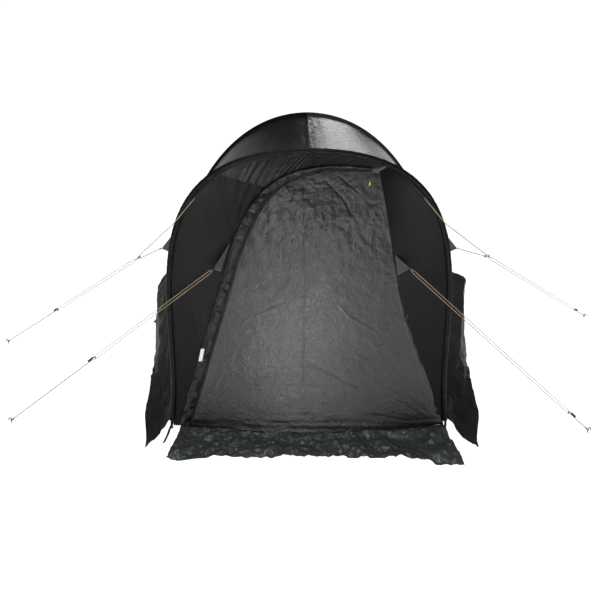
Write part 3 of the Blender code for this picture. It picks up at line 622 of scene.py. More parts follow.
def facing_hoop(t, inset=0.8 * SLEEVE_RADIUS):
    """Points of the front hoop that the wall beside the zip reaches for."""
    low = hoop_share(FRONT_HOOP, HEM_HEIGHT)
    left = low + (HEADER_LEFT_SPLIT - low) * t / HEADER_SPLIT
    left_span = 1.0 - HEADER_LEFT_SPLIT
    walk = (t - HEADER_SPLIT) / (1.0 - HEADER_SPLIT) * (left_span + 1.0 - HEADER_RIGHT_SPLIT)
    beyond = np.where(walk < left_span, HEADER_LEFT_SPLIT + walk, 1 + left_span - walk)
    u = np.where(t < HEADER_SPLIT, left, beyond)
    side = np.where((t < HEADER_SPLIT) | (walk < left_span), -1.0, 1.0)
    x, z = hoop_inset(FRONT_HOOP, u, inset)
    return np.stack([side * x, np.full_like(x, FRONT_Y), z], axis=-1)


print("door top", zip_edge(1.0), "sewn foot", sewn_edge(0.0))

# %% [markdown]
# The wall beside the zip is smooth low down. Over the door it is a header, gathered along the zip's curve, so
# it is full of short folds that run from the hoop to the zip.

# %% Front walls
def lerp_rows(outer, inner, columns):
    """A grid of straight rows between two lines of points."""
    w = np.linspace(0.0, 1.0, columns)[None, :, None]
    return outer[:, None] * (1 - w) + inner[:, None] * w


def wall_folds(t, w, points):
    """Folds of the wall beside the zip at t along the door's edge and w of the way from the hoop."""
    x, _, z = np.moveaxis(points, -1, 0)
    gathered = ease((t - 0.66) / 0.10) * (1 - 0.55 * ease((x + 0.02) / 0.12)) * ease((1.0 - t) / 0.05)
    reach = ease(w / 0.25) * (1 - 0.4 * ease((w - 0.8) / 0.2))
    lean = x - (0.50 + 1.5 * (x + 0.2)) * (z - 0.95)
    folds = 0.0034 * gathered * reach * hills(lean * 105, w * 1.2, 71)
    big = 0.0045 * np.exp(-((x + 0.20) / 0.05) ** 2) * reach * hills(lean * 42, w * 1.2, 77)
    fine = 0.0005 * gathered * crumple(x, z * 2, 0.016, 72)
    soft = 0.0030 * hills(x * 5, z * 3, 73) * np.sin(math.pi * w)
    pulls = 0.0008 * hills(x * 44 + z * 9, z * 5, 74) * ease(w * 1.5)
    return folds + big + fine + soft + pulls


def front_wall(name, node, low_t, high_t, rows, columns, material):
    """The cloth between the front hoop and a stretch of the zip."""
    t = np.linspace(low_t, high_t, rows)
    grid = lerp_rows(facing_hoop(t), beside(zip_edge, t, 0.003, 1), columns)
    share = np.meshgrid(t, np.linspace(0, 1, columns), indexing="ij")
    made = thicken(surface(name, pushed(grid, wall_folds(*share, grid)), [material]))
    dress(made, node)
    return made, cloth_area(grid)


# The walls beside the door and the header get nylon with painted shade, darker than the door's.
left_wall, left_area = front_wall("left_wall_cloth", "front_panel_left", 0.0, HEADER_SPLIT, 230, 60, wall_painted_shade_nylon)
header, header_area = front_wall("header_cloth", "header_panel", HEADER_SPLIT, 0.995, 380, 44, header_painted_shade_nylon)

share = np.linspace(0.0, 1.0, 220)
low_share = hoop_share(FRONT_HOOP, HEM_HEIGHT)
along_hoop = low_share + (HEADER_RIGHT_SPLIT - low_share) * share
hoop_x, hoop_z = hoop_inset(FRONT_HOOP, along_hoop, 0.8 * SLEEVE_RADIUS)
outer = np.stack([hoop_x, np.full_like(hoop_x, FRONT_Y), hoop_z], axis=-1)
grid = lerp_rows(outer, beside(sewn_edge, share, 0.001, -1), 50)
height = 0.003 * hills(grid[..., 0] * 5, grid[..., 2] * 3, 75) * np.sin(math.pi * np.linspace(0, 1, 50))
height = height + 0.0007 * hills(grid[..., 0] * 38 - grid[..., 2] * 10, grid[..., 2] * 4, 76)
# Painted shade: the right wall has the same darkened nylon as the left.
right_wall = thicken(surface("right_wall_cloth", pushed(grid, height), [wall_painted_shade_nylon]))
dress(right_wall, "front_panel_right")
print("wall areas", round(left_area, 3), round(header_area, 3), round(cloth_area(grid), 3))

# %% [markdown]
# The door is the piece that the eye rests on. It is one sheet with a seam down its middle, creases left from
# its folding, horizontal pulls where it is sewn to the wall, and folds that fan out from its lower right
# corner. The creases are drawn on it one by one, as lines with a width and a depth, over a ground of fine
# crumple that fades towards the hem.

# %% Door
DOOR_ROWS = 232
DOOR_COLUMNS = 180
DOOR_BELLY = 0.016
DOOR_BELLY_ENDS = (0.60, 0.35)
DOOR_SEAM_X = -0.018
RING_PLACE = (0.006, 0.798)
RING_RADIUS = 0.058
VISIBLE_FOOT_X = 0.503
CREASES = (
    (((0.058, 0.923), (0.086, 0.897), (0.125, 0.856), (0.141, 0.818)), 0.004, -0.0026),
    (((0.104, 0.939), (0.159, 0.894), (0.180, 0.877)), 0.004, -0.0022),
    (((-0.078, 0.913), (-0.056, 0.874)), 0.004, -0.0018),
    (((-0.118, 0.696), (-0.060, 0.761)), 0.005, 0.0016),
    (((-0.404, 0.119), (-0.318, 0.218)), 0.006, 0.0026),
    (((-0.375, 0.113), (-0.302, 0.195)), 0.006, 0.0022),
    (((-0.353, 0.098), (-0.291, 0.176)), 0.006, 0.0024),
    (((0.106, 0.499), (0.142, 0.456), (0.241, 0.393)), 0.005, 0.0022),
    (((0.155, 0.323), (0.266, 0.344), (0.308, 0.378)), 0.004, 0.0022),
    (((-0.003, 0.283), (0.084, 0.241), (0.179, 0.187)), 0.006, -0.0020),
    (((0.256, 0.196), (0.312, 0.262)), 0.004, 0.0022),
    (((0.235, 0.161), (0.202, 0.138)), 0.004, 0.0018),
    (((-0.242, 0.427), (-0.191, 0.458), (-0.067, 0.513)), 0.004, 0.0016),
    (((-0.299, 0.285), (-0.266, 0.324)), 0.004, 0.0020),
    (((0.101, 0.291), (0.224, 0.290)), 0.004, 0.0014),
    (((0.127, 0.279), (0.160, 0.244)), 0.004, -0.0018),
    (((-0.185, 0.224), (-0.094, 0.248)), 0.005, 0.0014),
    (((-0.094, 0.190), (-0.160, 0.123)), 0.005, 0.0014),
)
CORNER_FAN = (0.480, 0.020)


def door_folds(x, z):
    """All the folds of the door, in metres out of its plane."""
    upper = ease((z - 0.45) / 0.40)
    height = 0.003 * hills(x * 4, z * 3.2, 81)
    height += (0.00060 + 0.00110 * upper) * crumple(x, z, 0.020, 82)
    height += (0.0005 + 0.0007 * upper) * crumple(x + 0.3 * z, z, 0.070, 87)
    height += 0.0007 * upper * hills((x + z) * 34, (z - x) * 8, 89)
    for line, width, depth in CREASES:
        wander = 0.004 * hills(x * 30, z * 30, 84)
        away = distance_to_line(x + wander, z - wander, line)
        height += 0.85 * depth * np.exp(-((away / (0.7 * width)) ** 2))
    from_seam = x - DOOR_SEAM_X
    height -= 0.0009 * np.exp(-(from_seam / 0.0035) ** 2)
    height += 0.0010 * np.exp(-np.abs(from_seam) / 0.018) * hills(x * 12, z * 75, 83)
    from_ring = np.hypot(x - RING_PLACE[0], z - RING_PLACE[1]) - RING_RADIUS
    height += 0.0007 * np.exp(-np.abs(from_ring) / 0.008) * hills(np.arctan2(z - RING_PLACE[1], x) * 16, x, 90)
    edge_z, edge_x = sewn_edge(np.linspace(0, 1, 50))[::-1]
    to_edge = np.interp(z, edge_z, edge_x) - x
    height += 0.0011 * np.exp(-to_edge / 0.08) * hills(x * 5, z * 84, 85) * ease((z - 0.40) / 0.2)
    angle = np.arctan2(z - CORNER_FAN[1], CORNER_FAN[0] - x)
    reach = np.hypot(z - CORNER_FAN[1], CORNER_FAN[0] - x)
    height += 0.0035 * np.exp(-reach / 0.22) * hills(angle * 14, reach * 2, 86) * ease(reach / 0.05)
    hem = np.exp(-((z - HEM_HEIGHT) / 0.05) ** 2)
    height += 0.004 * hem * hills(x * 6, z * 42, 88)
    return height


k = np.linspace(0.0, 1.0, DOOR_ROWS)
left_x, left_z = zip_edge(k * 0.985)
right_x, right_z = sewn_edge(k * 0.992, VISIBLE_FOOT_X)
w = np.linspace(0.0, 1.0, DOOR_COLUMNS)[None, :]
door_x = left_x[:, None] * (1 - w) + right_x[:, None] * w
door_z = left_z[:, None] * (1 - w) + right_z[:, None] * w
belly = DOOR_BELLY * (1 - ease((k - DOOR_BELLY_ENDS[0]) / DOOR_BELLY_ENDS[1]))[:, None]
grid = on_wall(door_x, door_z, belly * 4 * w * (1 - w))
door_points = pushed(grid, door_folds(door_x, door_z))
door = thicken(surface("door_cloth", door_points, [door_nylon]))
dress(door, "door_panel", body=None)
print("door", len(door.data.polygons), "faces, area", round(cloth_area(grid), 3))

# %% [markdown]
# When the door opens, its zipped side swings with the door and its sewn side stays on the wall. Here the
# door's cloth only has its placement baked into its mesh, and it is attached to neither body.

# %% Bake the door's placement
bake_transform(door)

# %% [markdown]
# The storm flap is a loose strip that hangs over the zip. Nothing holds its inner edge, so it is crumpled
# from end to end and throws a thin dark shadow on the door.

# %% Storm flap
FLAP_WIDTH = 0.038
FLAP_STAND = 0.010
FLAP_ROWS = 520
FLAP_COLUMNS = 15

t = np.linspace(0.005, 0.984, FLAP_ROWS)
inner = beside(zip_edge, t, -0.001, 1)
away = facing_hoop(t) - inner
away /= np.linalg.norm(away, axis=1, keepdims=True)
across = np.linspace(0.0, 1.0, FLAP_COLUMNS)[None, :]
ragged = 1 + 0.10 * hills(t * 26, t * 3, 91)[:, None]
grid = inner[:, None] + away[:, None] * (across * ragged * FLAP_WIDTH)[..., None]
lift = FLAP_STAND * np.sin(math.pi * np.clip(0.10 + 0.75 * across, 0, 1)) + 0.002
grid[..., 1] -= lift
length = t[:, None] * 1.95 + 0 * across
height = 0.0036 * crumple(length, across * FLAP_WIDTH, 0.030, 92)
height = height + 0.003 * hills(length * 22, across * 1.5, 93)
flap = thicken(surface("storm_flap_cloth", pushed(grid, height), [flap_nylon]), 0.0009)
dress(flap, "door_storm_flap")
print("flap", len(flap.data.polygons))

# %% [markdown]
# The skirts are wide strips that a camper buries under snow or stones. Here they lie loose on the floor, so
# they are the most crumpled cloth of all. The side ones stand up at the main hoop, where a hem is tied back.

# %% Skirts
SIDE_SKIRT_FRONT = ((0.0, 0.045), (0.28, 0.018), (0.52, 0.0), (0.76, 0.0), (1.0, 0.0))
SIDE_SKIRT_REAR = {
    -1: ((0.0, 0.290), (0.40, 0.285), (0.86, 0.215), (0.98, 0.100), (1.0, 0.0)),
    1: ((0.0, 0.295), (0.52, 0.290), (0.98, 0.262), (0.96, 0.130), (1.0, 0.0))}
SIDE_SKIRT_REACH = {-1: 0.106, 1: 0.134}
SIDE_SKIRT_TIP = 0.72
SIDE_SKIRT_FLARE = 0.155
SIDE_SKIRT_END = MAIN_Y - 0.03
SKIRT_SEAM_GAP = 0.004
SKIRT_SHARES = (0.0, 0.18, 0.46, 0.76, 1.0)


def side_wall_x(near, far, w, z):
    """How far the cloth between two hoops stands from the middle at height z."""
    near_u, far_u = hoop_share(near, z), hoop_share(far, z)
    x = hoop_at(near, near_u)[0] * (1 - w) + hoop_at(far, far_u)[0] * w
    return x - WAIST * 4 * w * (1 - w) * (1 - near_u)


def side_skirt_points(side, rows, columns):
    """A skirt beside the front bay: flat at the front, standing out at the main hoop."""
    w, c = np.linspace(0, 1, rows), np.linspace(0, 1, columns)
    rear = ease((w - 0.3) / 0.65)[:, None]
    reach = SIDE_SKIRT_REACH[side] * (SIDE_SKIRT_TIP + (1 - SIDE_SKIRT_TIP) * ease(w / 0.2))[:, None]
    front_out, front_z = [np.interp(c, SKIRT_SHARES, [p[i] for p in SIDE_SKIRT_FRONT])[None] for i in (0, 1)]
    rear_out, rear_z = [np.interp(c, SKIRT_SHARES, [p[i] for p in SIDE_SKIRT_REAR[side]])[None] for i in (0, 1)]
    out = (front_out * (1 - rear) + rear_out * rear) * reach
    z = front_z * (1 - rear) + rear_z * rear
    seam_x = side_wall_x(FRONT_HOOP, MAIN_HOOP, w * 0.97, z[:, 0])[:, None] + SKIRT_SEAM_GAP
    start = FRONT_Y + SLEEVE_RADIUS
    flare = SIDE_SKIRT_FLARE * ((1 - w) ** 4)[:, None] * out / reach
    y = (start + (SIDE_SKIRT_END - start) * w)[:, None] - flare
    return np.stack([side * (seam_x + out), y, z], axis=-1)


def lay_skirt(name, node, grid, size, depth, seed, seam_calm=0.15, cloth=skirt_nylon):
    """Crumple a skirt, keep it above the floor and let it stand for its node."""
    metres = map_in_metres(grid)
    free = ease(np.linspace(0, 1, grid.shape[1]) / seam_calm)[None, :]
    height = depth * free * (0.8 + crumple(metres[..., 0], metres[..., 1], size, seed))
    height = height + 0.4 * depth * free * hills(metres[..., 0] / size, metres[..., 1] / size, seed + 5)
    points = pushed(grid, height)
    points[..., 2] = np.maximum(points[..., 2], 0.0008 + 0.0006 * free)
    made = thicken(surface(name, points, [cloth]))
    dress(made, node)
    print(name, len(made.data.polygons), "faces, area", round(cloth_area(points), 3))
    return made


for side, hand in ((-1, "left"), (1, "right")):
    grid = side_skirt_points(side, 170, 56)
    lay_skirt("side_skirt_cloth_" + hand, "side_skirt_" + hand, grid, 0.045, 0.0062, 100 + side)

# %% Front, tail and foot skirts
FRONT_SKIRT_ENDS = (-0.474, 0.508)
FRONT_SKIRT_REACH = 0.205
FRONT_REACH = 0.25
FRONT_SKIRT_SPREAD = 1.06
HALF_LENGTH = 1.325
TAIL_SKIRT_REACH = 0.125

x = np.linspace(*FRONT_SKIRT_ENDS, 230)
seam = wall_depth(x, HEM_HEIGHT)
corner = ease((x - 0.28) / 0.16) + 0.4 * ease((-x - 0.35) / 0.1)
edge = -(FRONT_SKIRT_REACH + (FRONT_REACH - FRONT_SKIRT_REACH) * corner)
out = np.linspace(0.0, 1.0, 56)[None, :]
spread = 1 + (FRONT_SKIRT_SPREAD - 1) * out
grid = np.stack([x[:, None] * spread, FRONT_Y + seam[:, None] * (1 - out) + edge[:, None] * out,
                 HEM_HEIGHT * (1 - ease(out / 0.35)) + 0 * x[:, None]], axis=-1)
# The front skirt gets the skirt nylon with painted light, lighter than the side skirts.
lay_skirt("front_skirt_cloth", "front_skirt", grid, 0.036, 0.0115, 110, 0.10, flat_skirt_painted_light_nylon)

for side, hand in ((-1, "left"), (1, "right")):
    w, c = np.linspace(0, 1, 200), np.linspace(0, 1, 26)
    seam_x = side_wall_x(MAIN_HOOP, FOOT_HOOP, 0.02 + 0.98 * w, 0.03)[:, None] + SKIRT_SEAM_GAP
    seam_x = seam_x + 0.012 * ease((w - 0.8) / 0.2)[:, None]
    z = np.interp(c, (0, 0.2, 0.4, 1.0), (0.030, 0.010, 0.0, 0.0))[None]
    y = (MAIN_Y + 0.03 + (FOOT_Y - MAIN_Y - 0.03) * w)[:, None]
    grid = np.stack([side * (seam_x + c[None] * TAIL_SKIRT_REACH), y + 0 * c[None], z + 0 * y], axis=-1)
    lay_skirt("tail_skirt_cloth_" + hand, "tail_skirt_" + hand, grid, 0.050, 0.0060, 120 + side)

w, c = np.linspace(1, -1, 110)[:, None], np.linspace(0, 1, 28)[None, :]
start = FOOT_Y + SLEEVE_RADIUS
z = np.interp(c, (0, 0.2, 0.4, 1.0), (0.030, 0.010, 0.0, 0.0))
grid = np.stack([(FOOT_HOOP["foot"] - 0.01) * w * (1 + 0.15 * c), start + (HALF_LENGTH - start) * c + 0 * w,
                 z + 0 * w], axis=-1)
lay_skirt("foot_end_skirt_cloth", "foot_end_skirt", grid, 0.050, 0.0060, 130)

# %% [markdown]
# The foot end closes with a flat panel inside the low hoop. It doesn't show in the photograph, so it gets the
# same cloth and the same quiet slack as the rest.

# %% Foot end
u = np.linspace(hoop_share(FOOT_HOOP, HEM_HEIGHT), 0.985, 60)
x, z = hoop_inset(FOOT_HOOP, u, 0.8 * SLEEVE_RADIUS)
w = np.linspace(1.0, -1.0, 70)[None, :]
grid = np.stack([x[:, None] * w, FOOT_Y + 0 * w * x[:, None], z[:, None] + 0 * w], axis=-1)
height = 0.003 * hills(grid[..., 0] * 5, grid[..., 2] * 4, 140)
height = height + 0.0009 * crumple(grid[..., 0], grid[..., 2], 0.09, 141)
foot_end = thicken(surface("foot_end_cloth", pushed(grid, height), [tail_nylon]))
dress(foot_end, "foot_end_panel")
print("foot end", len(foot_end.data.polygons))

# %% [markdown]
# The small parts come in few materials. The cord is braided polyester, whose crossing strands are a fine
# check at this distance. Pegs and rings are steel, the line locks and the toggle are moulded nylon, the pull
# of the slider is brass. Metal keeps the default IOR. A soft noise varies colour and roughness, because even
# new moulded or drawn parts aren't quite even.

# %% Hard finishes, cord and thread
def hard_finish(name, dark, light, roughness, metallic, grain_size, grain_bump):
    """A moulded, drawn or cast finish with an uneven tone and a fine grain."""
    made = bpy.data.materials.new(name)
    made.use_nodes = True
    tree = made.node_tree
    shader = tree.nodes["Principled BSDF"]
    place = add_node(tree, "ShaderNodeTexCoord").outputs["Object"]
    grain = add_node(tree, "ShaderNodeTexNoise", {"Vector": place, "Scale": 1 / grain_size, "Detail": 4.0})
    tone = add_node(tree, "ShaderNodeValToRGB", {"Fac": grain.outputs["Fac"]})
    tone.color_ramp.elements[0].color = from_hex(dark)
    tone.color_ramp.elements[1].color = from_hex(light)
    tree.links.new(tone.outputs["Color"], shader.inputs["Base Color"])
    worn = add_node(tree, "ShaderNodeMapRange", {"Value": grain.outputs["Fac"], "To Min": roughness - 0.08,
                                                 "To Max": roughness + 0.08})
    tree.links.new(worn.outputs["Result"], shader.inputs["Roughness"])
    shader.inputs["Metallic"].default_value = metallic
    bump = add_node(tree, "ShaderNodeBump", {"Height": grain.outputs["Fac"], "Distance": grain_bump,
                                             "Strength": 0.6})
    tree.links.new(bump.outputs["Normal"], shader.inputs["Normal"])
    return made


def braid(name, dark, light, strand):
    """Crossed strands on a cord or webbing, from the map in metres."""
    made = hard_finish(name, dark, light, 0.75, 0.0, 0.004, 0.0001)
    tree = made.node_tree
    shader = tree.nodes["Principled BSDF"]
    place = add_node(tree, "ShaderNodeTexCoord").outputs["UV"]
    diamonds = add_node(tree, "ShaderNodeTexChecker", {"Vector": place, "Scale": 1 / strand,
                                                       "Color1": from_hex(dark), "Color2": from_hex(light)})
    tree.links.new(diamonds.outputs["Color"], shader.inputs["Base Color"])
    bump = add_node(tree, "ShaderNodeBump", {"Height": diamonds.outputs["Fac"], "Distance": 0.0003})
    tree.links.new(bump.outputs["Normal"], shader.inputs["Normal"])
    return made


tan_cord = braid("braided_polyester_cord", "#857759", "#bfae8a", 0.0012)
single_cord = braid("braided_polyester_cord_weathered", "#3d3428", "#6b5c47", 0.0012)
webbing = braid("woven_polypropylene_webbing", "#101011", "#2a2b2c", 0.0010)
ring_steel = hard_finish("bent_steel_wire", "#8b8d90", "#b9bbbe", 0.32, 1.0, 0.003, 0.00005)
peg_steel = hard_finish("blackened_steel_rod", "#4a4c50", "#6c6f74", 0.40, 1.0, 0.004, 0.0001)
lock_plastic = hard_finish("moulded_nylon_plastic", "#121213", "#1f2022", 0.42, 0.0, 0.0015, 0.00008)
slider_brass = hard_finish("cast_brass", "#b88d3c", "#e3c070", 0.26, 1.0, 0.003, 0.00005)
pole_metal = hard_finish("anodised_aluminium_tube", "#2b2d31", "#3d4046", 0.35, 1.0, 0.010, 0.00003)
dark_thread = hard_finish("bonded_nylon_thread_black", "#0a0a0b", "#161617", 0.6, 0.0, 0.002, 0.0001)
grey_thread = hard_finish("bonded_nylon_thread_grey", "#6e7171", "#8b8e8d", 0.6, 0.0, 0.002, 0.0001)
red_thread = hard_finish("bonded_nylon_thread_dark_red", "#5a1c1c", "#7c2a28", 0.6, 0.0, 0.002, 0.0001)
satin = hard_finish("woven_satin_ribbon", "#e4e4df", "#f4f4f0", 0.45, 0.0, 0.002, 0.0001)
for hoop_name in ("front", "main", "foot"):
    pole = bpy.data.objects[hoop_name + "_hoop_pole"]
    pole.data.materials.clear()
    pole.data.materials.append(pole_metal)
print("hard finishes", pole_metal.name, slider_brass.name)

# %% [markdown]
# Thread shows as a row of short raised bars that dive into the cloth at both ends. A bar with three rings of
# four points is enough at this size, and one mesh holds a whole seam. To find where the cloth is, a ray is sent
# at it, so a stitch lies on the folds that are there.

# %% Stitches and rays
def resting_on(tree, starts, way):
    """The points where rays from the starts meet a surface; a ray that misses keeps the last point met."""
    met, last = [], None
    for start in starts:
        spot = tree.ray_cast(Vector(start), Vector(way))[0]
        last = np.array(spot) if spot is not None else last
        met.append(last if last is not None else np.array(start, float))
    return np.array(met)


def tree_of(made):
    """The faces of a piece, ready for rays."""
    points = [v.co[:] for v in made.data.vertices]
    return BVHTree.FromPolygons(points, [f.vertices[:] for f in made.data.polygons])


def go_with_door(made):
    """Bake the placement into the mesh; nothing ties it to the door."""
    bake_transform(made)


def stitches(name, line, out, thread, pitch=0.006, length=0.004, radius=0.0005, door=False):
    """A row of stitches along a line, raised towards one side."""
    line, out = np.asarray(line, float), np.asarray(out, float)
    run = np.concatenate([[0.0], np.cumsum(np.linalg.norm(np.diff(line, axis=0), axis=1))])
    first = np.arange(0.0, run[-1] - length, pitch)
    centres = [np.stack([np.interp(first + part * length, run, line[:, i]) for i in range(3)], axis=-1)
               for part in (0.0, 0.5, 1.0)]
    way = centres[2] - centres[0]
    way /= np.linalg.norm(way, axis=1, keepdims=True) + 1e-12
    side = np.cross(way, out)
    side /= np.linalg.norm(side, axis=1, keepdims=True) + 1e-12
    points = np.stack([centre + out * lift + radius * size * (side * a + out * b)
                       for centre, size, lift in zip(centres, (0.4, 1.0, 0.4), (0.0, 0.0004, 0.0))
                       for a, b in ((1, 0), (0, 1), (-1, 0), (0, -1))], axis=1)
    faces = [(start + k, start + (k + 1) % 4, start + 4 + (k + 1) % 4, start + 4 + k)
             for start in (n * 12 + ring * 4 for n in range(len(first)) for ring in (0, 1)) for k in range(4)]
    data = bpy.data.meshes.new(name)
    data.from_pydata(points.reshape(-1, 3).tolist(), [], faces)
    data.materials.append(thread)
    made = bpy.data.objects.new(name, data)
    bpy.context.scene.collection.objects.link(made)
    if door:
        go_with_door(made)
    else:
        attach(made, "shelter")
    return made


FORWARD = (0.0, -1.0, 0.0)
door_tree = tree_of(door)


def on_door(x, z, lift=0.0005):
    """Points of the door's cloth, seen from the front."""
    starts = np.stack([x, np.full_like(x, FRONT_Y - 0.5), z], axis=-1)
    return resting_on(door_tree, starts, (0, 1, 0)) + np.array(FORWARD) * lift


turn = np.linspace(0, 2 * math.pi, 160)
ring_x, ring_z = RING_PLACE[0] + RING_RADIUS * np.cos(turn), RING_PLACE[1] + RING_RADIUS * np.sin(turn)
stitches("ring_stitches", on_door(ring_x, ring_z), FORWARD, dark_thread, 0.0085, 0.0055, 0.0010, door=True)
z = np.linspace(0.03, 0.945, 260)
for offset, hand in ((-0.0022, "left"), (0.0022, "right")):
    stitches("door_seam_stitches_" + hand, on_door(np.full_like(z, DOOR_SEAM_X + offset), z), FORWARD,
             dark_thread, 0.0075, 0.0045, 0.0006, door=True)
t = np.linspace(0.01, 0.985, 300)
edge_x, edge_z = sewn_edge(t)
stitches("sewn_edge_stitches", on_wall(edge_x - 0.006, edge_z, 0.0022), FORWARD, grey_thread, 0.006, 0.004,
         0.0005)
PIPING_RADIUS = 0.0013
piping_tube = tube_points(on_wall(edge_x - 0.001, edge_z, 0.0016), np.full((300, 1), PIPING_RADIUS), 6)
piping = surface("sewn_edge_piping", piping_tube, [patch_nylon], closed=True)
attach(piping, "shelter")

# %% [markdown]
# The zip under the flap is a coil on two woven tapes. One tape is sewn to the wall and one to the door. The
# coil is a row of small bars across the gap.

# %% Zip tapes and coil
ZIP_TAPE = 0.009
out_way = door_points[:, 0] - door_points[:, 3]
out_way /= np.linalg.norm(out_way, axis=1, keepdims=True)
edge = door_points[:, 0] + np.array(FORWARD) * 0.0010
door_tape = np.stack([edge - out_way * ZIP_TAPE, edge - out_way * 0.004, edge, edge + out_way * 0.0022], axis=1)
tape = thicken(surface("zip_tape_door", door_tape, [webbing]), 0.0005)
go_with_door(tape)
wall_t = np.linspace(0.0, 0.985, 300)
wall_edge = beside(zip_edge, wall_t, 0.0, 1)
wall_way = beside(zip_edge, wall_t, 0.02, 1) - wall_edge
wall_way /= np.linalg.norm(wall_way, axis=1, keepdims=True)
wall_tape_section = ((0.012, 0.0006), (0.006, 0.0010), (0.002, 0.0010), (-0.004, -0.0012))
wall_tape = np.stack([wall_edge + wall_way * far + np.array(FORWARD) * rise for far, rise in wall_tape_section],
                     axis=1)
tape = thicken(surface("zip_tape_wall", wall_tape, [webbing]), 0.0005)
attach(tape, "shelter")
coil_line = edge + out_way * 0.0008 + np.array(FORWARD) * 0.0006
stitches("zip_coil", coil_line, FORWARD, lock_plastic, 0.0034, 0.0024, 0.0010, door=True)
flap_line = inner + away * (FLAP_WIDTH * 0.9) + np.array(FORWARD) * 0.0105
stitches("flap_edge_stitches", flap_line, FORWARD, grey_thread, 0.006, 0.004, 0.0004)
print("zip tapes and coil made")

# %% [markdown]
# Where the guy lines pull at the cloth, a triangle of doubled nylon spreads the load over the seam. The two
# beside the door are sewn along their sides and across; the small ones at the hoop carry no thread. Each tip
# ends at the knot of the cord.

# %% Guy patches
CORD_RADIUS = 0.0015
DOOR_PATCH_TIPS = {-1: (-0.329, -0.030, 0.641), 1: (0.343, -0.030, 0.645)}
DOOR_PATCH_ROOTS = {-1: (0.56, 0.50, 0.19), 1: (0.705, 0.625, 0.04)}
FRONT_PEGS = {-1: (1.125, 0.038), 1: (1.035, -0.033)}
HOOP_PEGS = {-1: (1.376, 0.745), 1: (1.376, 1.045)}
RINGS = {-1: (0.616, 0.130, 0.628), 1: (0.660, 0.205, 0.610)}
LOCK_SHARES = {"front": {-1: 0.583, 1: 0.912}, "hoop": {-1: 0.575, 1: 0.895}}
RING_WIDE, RING_WIRE = 0.010, 0.002
SIDES = ((-1, "left"), (1, "right"))


def beside_hoop(z, side, out, behind):
    """A place beside the front hoop at height z."""
    x = hoop_at(FRONT_HOOP, hoop_share(FRONT_HOOP, z))[0]
    return np.array([side * (float(x) + out), FRONT_Y + behind, z])


def wall_spot(side, t, w, forward=0.0045):
    """A place on the wall beside the door, w of the way to the hoop."""
    if side < 0:
        near, far = beside(zip_edge, t, 0.003, 1), facing_hoop(np.array(t))
    else:
        low = hoop_share(FRONT_HOOP, HEM_HEIGHT)
        x, z = hoop_inset(FRONT_HOOP, low + (HEADER_RIGHT_SPLIT - low) * t, 0.8 * SLEEVE_RADIUS)
        near, far = beside(sewn_edge, t, 0.001, -1), np.array([x, FRONT_Y, z])
    spot = near + (far - near) * w
    return spot - [0.0, forward, 0.0]


def sewn_triangle(name, node, upper, lower, tip, puckers, thread_rows):
    """A patch from two root corners to the tip where a line pulls."""
    reach, across = np.meshgrid(np.linspace(0, 1, 26), np.linspace(0, 1, 14), indexing="ij")

    def spot(share, width):
        root = lower + (upper - lower) * np.asarray(width)[..., None]
        return root + (tip - root) * 0.95 * np.asarray(share)[..., None]

    points = spot(reach, across)
    points = pushed(points, puckers * hills(reach * 5, across * 4, 150))
    made = thicken(surface(name, points, [patch_nylon]), 0.0012)
    dress(made, node)
    normal = outward(points)[0].mean(axis=(0, 1))
    along = np.linspace(0.04, 0.94, 20)
    rows = [spot(along, np.full(20, width)) for width in (0.10, 0.90)]
    rows += [spot(along, 0.5 + 0.38 * np.sin(along * 11)), spot(np.full(12, 0.10), np.linspace(0.08, 0.92, 12))]
    for number, row in enumerate(rows[:thread_rows]):
        stitches(f"{name}_thread_{number}", row + normal * 0.0008, normal, grey_thread, 0.0036, 0.0026, 0.0004)


TAB_OUT, TAB_HEIGHT, TAB_TIP_HEIGHT = 0.379, 0.891, 0.894
TAB_ROOT_HEIGHTS = (0.932, 0.905)
HOOP_PATCH_OUT, HOOP_PATCH_HEIGHT = 0.512, 0.702
HOOP_PATCH_ROOT_HEIGHTS = (0.745, 0.695)
TIP_INSET = 0.003
BRIDLE_BEND = 0.0046

for side, hand in SIDES:
    upper, lower, across = DOOR_PATCH_ROOTS[side]
    tip_x, tip_behind, tip_z = DOOR_PATCH_TIPS[side]
    tip = np.array([tip_x, FRONT_Y + tip_behind, tip_z])
    sewn_triangle("door_guy_patch_cloth_" + hand, "door_guy_patch_" + hand, wall_spot(side, upper, across),
                  wall_spot(side, lower, across), tip, 0.0008, 4)
    tab_tip = np.array([side * TAB_OUT - side * TIP_INSET, FRONT_Y - 0.016, TAB_TIP_HEIGHT])
    tab_roots = [beside_hoop(height, side, -0.020, -0.004) for height in TAB_ROOT_HEIGHTS]
    sewn_triangle("sleeve_tab_cloth_" + hand, "sleeve_guy_tab_" + hand, *tab_roots, tab_tip, 0.0003, 0)
    hoop_tip = np.array([side * HOOP_PATCH_OUT - side * TIP_INSET, FRONT_Y + 0.016, HOOP_PATCH_HEIGHT])
    patch_roots = [beside_hoop(height, side, 0.0110, 0.006) for height in HOOP_PATCH_ROOT_HEIGHTS]
    sewn_triangle("hoop_patch_cloth_" + hand, "hoop_guy_patch_" + hand, *patch_roots, hoop_tip, 0.0003, 0)
print("patch tips", DOOR_PATCH_TIPS)

# %% [markdown]
# Each guy line leaves its patch doubled, runs through the line lock and goes on as one cord to the peg. The
# lock is a flat moulded plate with two holes: turned across the cord it grips, turned along it slides. A knot
# keeps the cord from slipping out of it.

